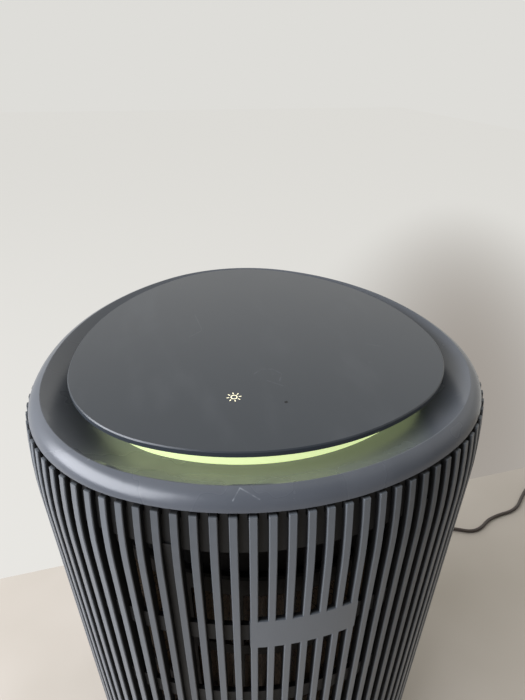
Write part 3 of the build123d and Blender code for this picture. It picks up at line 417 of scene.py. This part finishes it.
@dataclass(frozen=True)
class LitAcrylic:
    """Frosted acrylic lit from behind by diodes.

    It glows evenly, a little whiter than its own tint, and fades towards the sides where
    no diode stands behind it.
    """

    name: str
    colour: str
    glow: str
    strength: float
    roughness: float = 0.35
    fade: tuple[float, float] | None = None

    def build(self) -> bpy.types.Material:
        """Make the material.

        Returns:
            The new material.
        """
        material = bpy.data.materials.new(self.name)
        tree, shader, place = clean_tree(material)
        cloud = noise(tree, place, 8, 2, 3.0)
        shader.inputs["Base Color"].default_value = linear(self.colour)
        shader.inputs["IOR"].default_value = 1.49
        gloss = remap(tree, cloud, 0.3, 0.7, self.roughness - 0.05, self.roughness + 0.05)
        tree.links.new(gloss, shader.inputs["Roughness"])
        shader.inputs["Emission Color"].default_value = linear(self.glow)
        if self.fade is None:
            shader.inputs["Emission Strength"].default_value = self.strength
            return material
        axis = add_node(tree, "SeparateXYZ", {0: place})
        level = remap(tree, axis.outputs["Y"], self.fade[0], self.fade[1], self.strength, 0.0)
        tree.links.new(level, shader.inputs["Emission Strength"])
        return material


@dataclass(frozen=True)
class PleatedPaper:
    """Pleated filter paper with carbon grains.

    Matt fibre with a mottled brown tone and black grains, so light sinks into its folds.
    """

    name: str
    colour: str
    grain_colour: str

    def build(self) -> bpy.types.Material:
        """Make the material.

        Returns:
            The new material.
        """
        material = bpy.data.materials.new(self.name)
        tree, shader, place = clean_tree(material)
        fibre = add_node(tree, "Mapping", {"Vector": place, "Scale": (1, 1, 0.2)})
        fibres = noise(tree, fibre.outputs["Vector"], 0.8, 4, 1.1)
        grains = noise(tree, place, 1.6, 1, 5.0)
        speckle = remap(tree, grains, 0.56, 0.64)
        colour = mix(tree, remap(tree, fibres, 0.3, 0.7, 0, 0.35), linear(self.colour), linear("#8A7A66"))
        colour = mix(tree, speckle, colour, linear(self.grain_colour))
        bump = add_node(tree, "Bump", {"Height": fibres, "Strength": 0.7, "Distance": 0.1 * MM})
        tree.links.new(colour, shader.inputs["Base Color"])
        tree.links.new(bump.outputs["Normal"], shader.inputs["Normal"])
        shader.inputs["Roughness"].default_value = 0.95
        shader.inputs["Sheen Weight"].default_value = 0.15
        return material


@dataclass(frozen=True)
class PlatedMetal:
    """Plated or rolled metal with fine drawing lines and slight tarnish."""

    name: str
    colour: str
    roughness: float
    line_mm: float = 0.3

    def build(self) -> bpy.types.Material:
        """Make the material.

        Returns:
            The new material.
        """
        material = bpy.data.materials.new(self.name)
        tree, shader, place = clean_tree(material)
        drawn = add_node(tree, "Mapping", {"Vector": place, "Scale": (1, 1, 0.1)})
        lines = noise(tree, drawn.outputs["Vector"], self.line_mm, 2)
        tarnish = noise(tree, place, 9, 3, 2.2)
        base = linear(self.colour)
        dull = tuple(c * 0.7 for c in base[:3]) + (1.0,)
        tree.links.new(mix(tree, remap(tree, tarnish, 0.4, 0.7), base, dull), shader.inputs["Base Color"])
        gloss = remap(tree, lines, 0.3, 0.7, self.roughness - 0.05, self.roughness + 0.1)
        tree.links.new(gloss, shader.inputs["Roughness"])
        shader.inputs["Metallic"].default_value = 1.0
        return material


@dataclass(frozen=True)
class WovenTape:
    """Plain-woven polyester tape, with raised threads crossing at right angles."""

    name: str
    colour: str
    thread_mm: float = 0.8

    def build(self) -> bpy.types.Material:
        """Make the material.

        Returns:
            The new material.
        """
        material = bpy.data.materials.new(self.name)
        tree, shader, place = clean_tree(material)
        threads = [
            add_node(
                tree,
                "TexWave",
                {"Vector": place, "Scale": 1 / (self.thread_mm * MM) / WAVE_TURN, "Distortion": 0.5},
                bands_direction=direction,
            ).outputs["Fac"]
            for direction in ("X", "Z")
        ]
        weave = math_node(tree, "MULTIPLY", *threads)
        base = linear(self.colour)
        dark = tuple(c * 0.6 for c in base[:3]) + (1.0,)
        tree.links.new(mix(tree, weave, dark, base), shader.inputs["Base Color"])
        bump = add_node(tree, "Bump", {"Height": weave, "Strength": 0.8, "Distance": 0.2 * MM})
        tree.links.new(bump.outputs["Normal"], shader.inputs["Normal"])
        shader.inputs["Roughness"].default_value = 0.85
        shader.inputs["Sheen Weight"].default_value = 0.3
        return material


class Finish(Enum):
    """The finishes of this object, each as its own recipe."""

    # moulded ABS, the glossiest part of the casing: it carries one long soft highlight
    RING = MouldedPlastic(
        "slate_abs_ring",
        "#51555C",
        0.26,
        smudges=0.05,
        scratches=(
            Scratch((-35.3, -134.4, 513.1), (-31.4, -130.7, 516.4), 0.5),
            Scratch((-31.4, -130.7, 516.4), (-23.5, -136.3, 513.4), 0.5),
        ),
    )
    # moulded ABS, darker than the ring and even, with hairline scratches and one chip
    LID = MouldedPlastic(
        "slate_abs_lid",
        "#32373D",
        0.30,
        tone_shift=0.03,
        gloss_shift=0.02,
        smudges=0.04,
        scratch_colour="#5C6066",
        scratches=(
            Scratch((-36.2, 34.1, 522.0), (-33.5, 10.0, 522.0), 0.5),
            Scratch((-33.5, 10.0, 522.0), (-43.0, 2.0, 522.0), 0.5),
            Scratch((-3.0, -58.0, 522.0), (6.0, -66.0, 522.0), 0.5),
            Scratch((70.0, -30.0, 522.0), (78.0, -35.0, 522.0), 0.5),
            Scratch((-9.0, -50.0, 522.0), (-4.0, -45.5, 522.0), 0.6),
            Scratch((-4.0, -45.5, 522.0), (3.0, -47.0, 522.0), 0.6),
            Scratch((3.0, -47.0, 522.0), (7.0, -53.0, 522.0), 0.6),
            Scratch((7.0, -53.0, 522.0), (4.0, -60.0, 522.0), 0.6),
        ),
        dent=(2.7, -80.2, 522.0),
    )
    # moulded ABS: satin rib faces; the sides and hoops behind them get painted shade, their colour darkened
    # with depth down to 4 percent
    GRILLE = MouldedPlastic(
        "slate_abs_ribs",
        "#5D6268",
        0.36,
        grain_mm=1.1,
        grain_depth_mm=0.02,
        recess_painted_shade=0.04,
        specular=0.3,
    )
    # moulded black ABS with a coarse matt grain; its colour is pushed near black as painted shade, which
    # keeps the inside dark
    DARK = MouldedPlastic(
        "black_abs_frame", "#0E0D0D", 0.7, specular=0.15, grain_mm=1.2, grain_depth_mm=0.03
    )
    # moulded polypropylene, waxier and a little lighter than the frame
    FAN = MouldedPlastic("grey_pp_fan", "#1D1C1C", 0.6, specular=0.2, grain_mm=1.0)
    # moulded rubber, matt
    RUBBER = MouldedPlastic("black_rubber_feet", "#151515", 0.8, grain_mm=0.7, grain_depth_mm=0.05)
    # extruded PVC, a warm grey that varies along the cord with handling
    CORD = MouldedPlastic(
        "brown_grey_pvc_cord", "#463D38", 0.55, grain_mm=0.8, grain_depth_mm=0.02, tone_shift=0.1
    )
    # solder mask printed over glass epoxy, mottled by the copper below it
    BOARD = MouldedPlastic("green_solder_mask", "#1C5A33", 0.35, grain_mm=2.0, tone_shift=0.25)
    # enamelled wire, wound: the depth of the grain stands for its turns
    WINDING = MouldedPlastic("enamelled_copper_winding", "#8A4A22", 0.3, grain_mm=0.5, grain_depth_mm=0.2)
    # cut open-cell foam, dull and pitted
    FOAM = MouldedPlastic(
        "black_foam_gasket", "#1B1B1C", 0.95, grain_mm=0.9, grain_depth_mm=0.3, tone_shift=0.3
    )
    # moulded polypropylene, brown-black beside the paper that it holds
    CAGE = MouldedPlastic("grey_pp_filter_frame", "#1E1A17", 0.55, specular=0.25, grain_mm=1.0)
    # acrylic lit by diodes at the front only
    LIGHT = LitAcrylic("frosted_acrylic_light_guide", "#C9D3A8", "#DAECA8", 0.88, fade=(-0.08, -0.04))
    # acrylic insert with one warm diode under it
    ICON = LitAcrylic("clear_acrylic_symbol", "#E8E4C8", "#FFF4C8", 0.9)
    # pleated paper with carbon grains, dull brown
    PAPER = PleatedPaper("pleated_carbon_paper", "#58452F", "#100E0C")
    # zinc-plated screws, shafts and plates, satin
    STEEL = PlatedMetal("zinc_plated_steel", "#B9BBBD", 0.35)
    # nickel-plated plug pins, bright and faintly yellow
    NICKEL = PlatedMetal("nickel_plated_brass", "#D8D2C4", 0.2)
    # woven tape, pale and matt
    TAPE = WovenTape("woven_polyester_tape", "#B9B8B4")

    def material(self) -> bpy.types.Material:
        """The finish's material, built once."""
        found = bpy.data.materials.get(self.value.name)
        return found or self.value.build()


SLOT_FINISHES: dict[str, Finish] = {
    "grille_abs": Finish.GRILLE,
    "ring_abs": Finish.RING,
    "lid_abs": Finish.LID,
    "light_acrylic": Finish.LIGHT,
    "icon_acrylic": Finish.ICON,
    "dark_abs": Finish.DARK,
    "fan_plastic": Finish.FAN,
    "rubber": Finish.RUBBER,
    "cord_pvc": Finish.CORD,
    "nickel_brass": Finish.NICKEL,
    "zinc_steel": Finish.STEEL,
    "winding": Finish.WINDING,
    "circuit_board": Finish.BOARD,
    "filter_paper": Finish.PAPER,
    "filter_plastic": Finish.CAGE,
    "foam": Finish.FOAM,
    "tab_fabric": Finish.TAPE,
}


class Casing:
    """The CAD pieces, which keep their shapes and get their finishes."""

    def dress(self) -> None:
        """Give every CAD node its finish."""
        slots = {part["node"]: part["material_slot"] for part in frame["record"]["subparts"]}
        for name, node in frame["nodes"].items():
            material = SLOT_FINISHES[slots[name]].material()
            node.data.materials.clear()
            node.data.materials.append(material)
            log.info("dressed %s in %s", name, material.name)


def node_points(name: str) -> list[Vector]:
    """Corners of a CAD node's mesh, in metres of the frame."""
    node = frame["nodes"][name]
    return [node.matrix_world @ vertex.co for vertex in node.data.vertices]


def span(points: Sequence[Vector], axis: str) -> tuple[float, float]:
    """Lowest and highest value of some points along one axis."""
    values = [getattr(point, axis) for point in points]
    return min(values), max(values)


@dataclass
class FilterTrim:
    """The soft pieces of the filter: the foam ring on its top cap and its pull strap."""

    ring_steps: int = 120
    foam_crown: float = 0.9 * MM
    tape_thickness: float = 1.1 * MM
    tape_bow: float = 1.4 * MM
    tape_gap: float = 0.2 * MM
    bend_radius: float = 3.0 * MM
    hem_length: float = 9.0 * MM
    hem_fold: float = 0.55

    def foam_ring(self) -> None:
        """Build the foam gasket, a flat ring whose sides bulge between its two faces."""
        points = node_points("filter_gasket")
        low, high = span(points, "z")
        middle_y = sum(span(points, "y")) / 2
        radii = [math.hypot(p.x, p.y - middle_y) for p in points]
        inner, outer = min(radii), max(radii)
        crown, height = self.foam_crown, high - low
        # the side as height and bulge, each a share: flat faces, rounded between
        side = [(0.0, 0.0), (0.2, 0.75), (0.5, 1.0), (0.8, 0.75), (1.0, 0.0)]
        profile = [(outer - crown * (1 - bulge), low + height * share) for share, bulge in side]
        profile += [(inner + crown * (1 - bulge), low + height * share) for share, bulge in reversed(side)]
        corners = []
        for step in range(self.ring_steps):
            angle = 2 * math.pi * step / self.ring_steps
            corners += [(r * math.cos(angle), middle_y + r * math.sin(angle), z) for r, z in profile]
        piece = self.skin("gasket_foam", corners, len(profile), True, Finish.FOAM)
        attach(piece, "filter")
        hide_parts("filter_gasket")

    def strap_path(self, root: float, out: float, low: float, high: float) -> list[tuple[float, float]]:
        """Side view of the strap: out of the cap, up in a slight bow, and back down in its hem.

        Args:
            root: Depth of the cap's side, where the strap starts.
            out: Furthest depth that the strap may reach.
            low: Level of the strap's underside.
            high: Level of its top.

        Returns:
            Points of the tape's middle, as depth and level.
        """
        thick, bend = self.tape_thickness, self.bend_radius
        face = out - thick / 2 - self.tape_bow
        floor, top = low + thick / 2, high - thick
        path = [(root + self.tape_gap, floor), (face - bend, floor)]
        for turn in (math.radians(angle) for angle in range(15, 91, 15)):
            path.append((face - bend + bend * math.sin(turn), floor + bend - bend * math.cos(turn)))
        foot = path[-1][1]
        for share in (step / 12 for step in range(1, 13)):
            path.append((face + self.tape_bow * math.sin(math.pi * share), foot + (top - foot) * share))
        fold = thick * self.hem_fold
        for turn in (math.radians(angle) for angle in range(30, 181, 30)):
            path.append((face - fold + fold * math.cos(turn), top + fold * math.sin(turn)))
        path += [(face - 2 * fold, top - self.hem_length * share) for share in (0.25, 0.5, 0.75, 1.0)]
        return path

    def pull_strap(self) -> None:
        """Build the tape strap on the bottom cap, with its edges rounded."""
        points = node_points("filter_pull_tab")
        path = self.strap_path(*span(points, "y"), *span(points, "z"))
        thick = self.tape_thickness
        half = span(points, "x")[1]
        edge = half - thick / 2
        outline = [(-edge, 1), (edge, 1), (half, 0), (edge, -1), (-edge, -1), (-half, 0)]
        corners = []
        for index, (y, z) in enumerate(path):
            before, after = path[max(0, index - 1)], path[min(len(path) - 1, index + 1)]
            along = Vector((after[0] - before[0], after[1] - before[1])).normalized()
            side = Vector((along.y, -along.x)) * thick / 2
            corners += [(x, y + side.x * sign, z + side.y * sign) for x, sign in outline]
        piece = self.skin("pull_strap", corners, len(outline), False, Finish.TAPE)
        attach(piece, "filter")
        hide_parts("filter_pull_tab")

    def skin(
        self, name: str, corners: list[Point], around: int, closed: bool, finish: Finish
    ) -> bpy.types.Object:
        """Skin a row of equal sections.

        Args:
            name: Name of the piece.
            corners: All points, section by section.
            around: Points in one section.
            closed: True if the last section meets the first.
            finish: The piece's finish.

        Returns:
            The new piece.
        """
        stations = len(corners) // around
        faces = []
        for station in range(stations if closed else stations - 1):
            here, there = station * around, (station + 1) % stations * around
            for corner in range(around):
                beside = (corner + 1) % around
                faces.append((here + corner, here + beside, there + beside, there + corner))
        if not closed:
            faces.append(tuple(reversed(range(around))))
            faces.append(tuple(range(len(corners) - around, len(corners))))
        mesh = bpy.data.meshes.new(name)
        mesh.from_pydata(corners, [], faces)
        mesh.shade_smooth()
        mesh.materials.append(finish.material())
        piece = bpy.data.objects.new(name, mesh)
        bpy.context.scene.collection.objects.link(piece)
        log.info("built %s", name)
        return piece


@dataclass
class MainsCord:
    """The mains cord from the base to its plug, with its unseen length in a coil."""

    diameter: float = 5.4 * MM
    length: float = 1.80
    turn_radius: float = 32.4 * MM
    turns: float = 5.25
    columns: float = 3.5
    climb_turn: float = 0.25
    points_per_turn: int = 16
    coil_centre: Point = (0.628, 0.2202, 0.0)
    exit_point: Point = (0.0, 0.157, 0.009)
    lead: tuple[Point, ...] = (
        (0.001, 0.175, 0.0068),
        (0.012, 0.192, 0.0039),
        (0.033, 0.202, 0.0027),
        (0.066, 0.204, 0.0027),
        (0.118, 0.201, 0.0027),
        (0.172, 0.194, 0.0027),
        (0.228, 0.191, 0.0027),
        (0.283, 0.193, 0.0027),
        (0.328, 0.195, 0.0027),
        (0.360, 0.193, 0.0027),
        (0.382, 0.185, 0.0027),
        (0.403, 0.175, 0.0027),
        (0.424, 0.178, 0.0027),
        (0.445, 0.191, 0.0027),
        (0.470, 0.197, 0.0027),
        (0.495, 0.199, 0.0027),
        (0.515, 0.207, 0.0027),
        (0.534, 0.223, 0.0027),
        (0.555, 0.239, 0.0027),
        (0.580, 0.253, 0.0027),
    )
    join_x: float = 0.603
    tail: tuple[Point, ...] = ((-0.0015, -0.018, 0.00756), (-0.006, -0.035, 0.00685))

    def coil(self) -> list[Point]:
        """Turns of the coil, first inwards on the floor and then outwards on top.

        Returns:
            Points from where the cord joins the coil to where it leaves it.
        """
        spread = (self.columns - 1) / 2 * self.diameter
        down = (self.turns - self.climb_turn) / 2
        points = []
        for step in range(round(self.turns * self.points_per_turn) + 1):
            turn = step / self.points_per_turn
            inward = min(turn, down) - max(0.0, turn - down - self.climb_turn)
            radius = self.turn_radius + spread - self.diameter * inward
            climb = min(1.0, max(0.0, (turn - down) / self.climb_turn))
            angle = math.pi / 2 - 2 * math.pi * turn
            points.append(
                (
                    self.coil_centre[0] + radius * math.cos(angle),
                    self.coil_centre[1] + radius * math.sin(angle),
                    self.diameter * (0.5 + climb),
                )
            )
        return points

    def build(self) -> bpy.types.Object:
        """Build the cord on one smooth spline.

        Returns:
            The cord's curve.
        """
        coil = self.coil()
        start, end = coil[0], coil[-1]
        join = (self.join_x, start[1], self.diameter / 2)
        tail = [(end[0] + x, end[1] + y, level) for x, y, level in self.tail]
        route = [self.exit_point, *self.lead, join, *coil, *tail]
        curve = bpy.data.curves.new("mains_cord", "CURVE")
        curve.dimensions = "3D"
        curve.bevel_depth = self.diameter / 2
        curve.bevel_resolution = 5
        curve.resolution_u = 6
        spline = curve.splines.new("NURBS")
        spline.points.add(len(route) - 1)
        for point, place in zip(spline.points, route):
            point.co = (*place, 1.0)
        spline.order_u = 3
        spline.use_endpoint_u = True
        cord = bpy.data.objects.new("mains_cord", curve)
        bpy.context.scene.collection.objects.link(cord)
        cord.data.materials.append(Finish.CORD.material())
        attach(cord, "housing")
        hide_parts("cord_lead", "cord_coil", "cord_tail")
        log.info("built the mains cord, %d route points", len(route))
        return cord


@dataclass
class Studio:
    """Pale floor, pale wall tone, soft light from the left and the camera over the front edge.

    The wall line crosses the depth axis at wall_gap and is turned by wall_turn. The window
    is given as the way to it from the middle of the lid, and the lens is in millimetres.
    """

    floor_size: float = 8.0
    wall_gap: float = 0.262
    wall_turn: float = 2.8
    apron_glow: float = 0.9
    wall_colour: str = "#DEDDD9"
    shade_colour: str = "#958E87"
    shade_middle: tuple[float, float] = (0.60, 0.52)
    shade_turn: float = 58.5
    shade_size: tuple[float, float] = (2.05, 0.56)
    window: Point = (-0.955, -0.30, 0.40)
    window_gap: float = 1.8
    window_size: tuple[float, float] = (2.0, 1.2)
    window_power: float = 70
    window_colour: str = "#F4F7FF"
    upper_wall_gain: float = 0.45
    camera_place: Point = (-0.0545, -0.28533, 0.68198)
    heading: float = -12.1
    pitch: float = 30.9
    roll: float = 0.31
    lens: float = 25.097

    def floor(self) -> None:
        """Lay the floor up to the wall line, a pale satin laminate with a soft mottle."""
        material = bpy.data.materials.new("pale_floor")
        tree, shader, place = clean_tree(material)
        cloud = noise(tree, place, 240, 3)
        tone = mix(tree, remap(tree, cloud, 0.3, 0.7), linear("#B9B1A6"), linear("#C2BAB0"))
        tree.links.new(tone, shader.inputs["Base Color"])
        shader.inputs["Roughness"].default_value = 0.55
        self.lay("floor", -self.floor_size, material)

    def apron(self) -> None:
        """Carry the floor on beyond the wall line in the wall's pale tone, with one soft shade in it."""
        material = bpy.data.materials.new("pale_apron")
        tree, shader, place = clean_tree(material)
        from_middle = vector_node(tree, "SUBTRACT", place, (*self.shade_middle, 0.0))
        turn = {"Vector": from_middle, "Angle": -math.radians(self.shade_turn)}
        turned = add_node(tree, "VectorRotate", turn, rotation_type="Z_AXIS").outputs["Vector"]
        length, width = self.shade_size
        squashed = vector_node(tree, "DIVIDE", turned, (length, width, 1.0))
        away = vector_node(tree, "LENGTH", squashed, output="Value")
        shade = remap(tree, away, 0.0, 1.0, 1.0, 0.0)
        tone = mix(tree, shade, linear(self.wall_colour), linear(self.shade_colour))
        shader.inputs["Base Color"].default_value = linear("#5A5855")
        shader.inputs["Roughness"].default_value = 0.9
        shader.inputs["Specular IOR Level"].default_value = 0.0
        tree.links.new(tone, shader.inputs["Emission Color"])
        shader.inputs["Emission Strength"].default_value = self.apron_glow
        self.lay("apron", self.floor_size, material)

    def lay(self, name: str, depth: float, material: bpy.types.Material) -> None:
        """Lay one flat sheet from the wall line, level with the ground.

        Args:
            name: Name of the sheet.
            depth: How far it reaches, behind the wall line if positive.
            material: The sheet's material.
        """
        side = self.floor_size / 2
        slope = math.tan(math.radians(self.wall_turn))
        line = [(x, self.wall_gap + slope * x, 0.0) for x in (-side, side)]
        corners = [(-side, depth, 0.0), (side, depth, 0.0), line[1], line[0]]
        mesh = bpy.data.meshes.new(name)
        mesh.from_pydata(corners, [], [(0, 1, 2, 3) if depth < 0 else (3, 2, 1, 0)])
        mesh.materials.append(material)
        sheet = bpy.data.objects.new(name, mesh)
        bpy.context.scene.collection.objects.link(sheet)

    def world(self) -> None:
        """Surround the object with a soft room that is brighter behind and on the left."""
        world = bpy.data.worlds.new("soft_room")
        bpy.context.scene.world = world
        world.use_nodes = True
        tree = world.node_tree
        tree.nodes.clear()
        toward = add_node(tree, "TexCoord").outputs["Generated"]
        wall = self.facing(tree, toward, (0.0, 0.94, 0.35), -0.45, 0.30)
        shade = self.facing(tree, toward, (0.56, 0.56, -0.60), 0.88, 1.0)
        colour = mix(tree, wall, linear("#605D5A"), linear(self.wall_colour))
        colour = mix(tree, shade, colour, linear(self.shade_colour))
        level = add_node(tree, "SeparateXYZ", {0: toward}).outputs["Z"]
        rising, falling = remap(tree, level, 0.10, 0.36), remap(tree, level, 0.80, 0.36)
        upper_wall = math_node(tree, "MULTIPLY", rising, falling)
        strength = math_node(tree, "ADD", math_node(tree, "MULTIPLY", upper_wall, self.upper_wall_gain), 1.0)
        backdrop = add_node(tree, "Background", {"Color": colour, "Strength": strength})
        add_node(tree, "OutputWorld", {"Surface": backdrop.outputs[0]})

    def facing(self, tree: bpy.types.NodeTree, place: Any, toward: Point, low: float, high: float) -> Any:
        """Share of how far a direction of the room faces a given way.

        Args:
            tree: The world's node tree.
            place: Socket with the direction.
            toward: The way it is compared with.
            low: Cosine at which the share is 0.
            high: Cosine at which the share is 1.

        Returns:
            The socket with the share.
        """
        cosine = vector_node(tree, "DOT_PRODUCT", place, tuple(Vector(toward).normalized()), "Value")
        return remap(tree, cosine, low, high)

    def lamp(
        self, name: str, place: Point, target: Point, size: tuple[float, float], power: float, colour: str
    ) -> None:
        """Hang one soft oblong lamp.

        Args:
            name: Name of the lamp.
            place: Where it hangs.
            target: What it points at.
            size: Its width and height.
            power: Its power in watts.
            colour: Its sRGB hex colour.
        """
        light = bpy.data.lights.new(name, "AREA")
        light.shape = "RECTANGLE"
        light.size, light.size_y = size
        light.energy = power
        light.color = linear(colour)[:3]
        lamp = bpy.data.objects.new(name, light)
        bpy.context.scene.collection.objects.link(lamp)
        lamp.location = place
        lamp.rotation_mode = "QUATERNION"
        lamp.rotation_quaternion = (Vector(target) - Vector(place)).to_track_quat("-Z", "Y")

    def camera(self) -> None:
        """Place the camera above the front left edge, looking down at the lid."""
        data = bpy.data.cameras.new("camera")
        data.lens = self.lens
        data.clip_start = 0.01
        camera = bpy.data.objects.new("camera", data)
        bpy.context.scene.collection.objects.link(camera)
        turned = Matrix.Rotation(math.radians(self.heading), 4, "Z")
        tilted = Matrix.Rotation(math.radians(90 - self.pitch), 4, "X")
        rolled = Matrix.Rotation(math.radians(self.roll), 4, "Z")
        camera.matrix_world = Matrix.Translation(self.camera_place) @ turned @ tilted @ rolled
        bpy.context.scene.camera = camera

    def build(self) -> None:
        """Set up floor, room, lamps and camera."""
        self.floor()
        self.apron()
        self.world()
        top = Vector((0, 0, CAD_BOX[1][2]))
        window = Vector(self.window).normalized() * self.window_gap + top
        self.lamp(
            "window", tuple(window), tuple(top), self.window_size, self.window_power, self.window_colour
        )
        self.camera()
        bpy.context.scene.view_settings.view_transform = "Standard"
        log.info("set up the studio")


def main() -> None:
    """Set up the studio, dress the casing and build the soft filter pieces and the cord, in order."""
    logging.basicConfig(level=logging.INFO, format="%(message)s")
    Studio().build()
    Casing().dress()
    trim = FilterTrim()
    trim.foam_ring()
    trim.pull_strap()
    MainsCord().build()


if __name__ == "__main__":
    main()
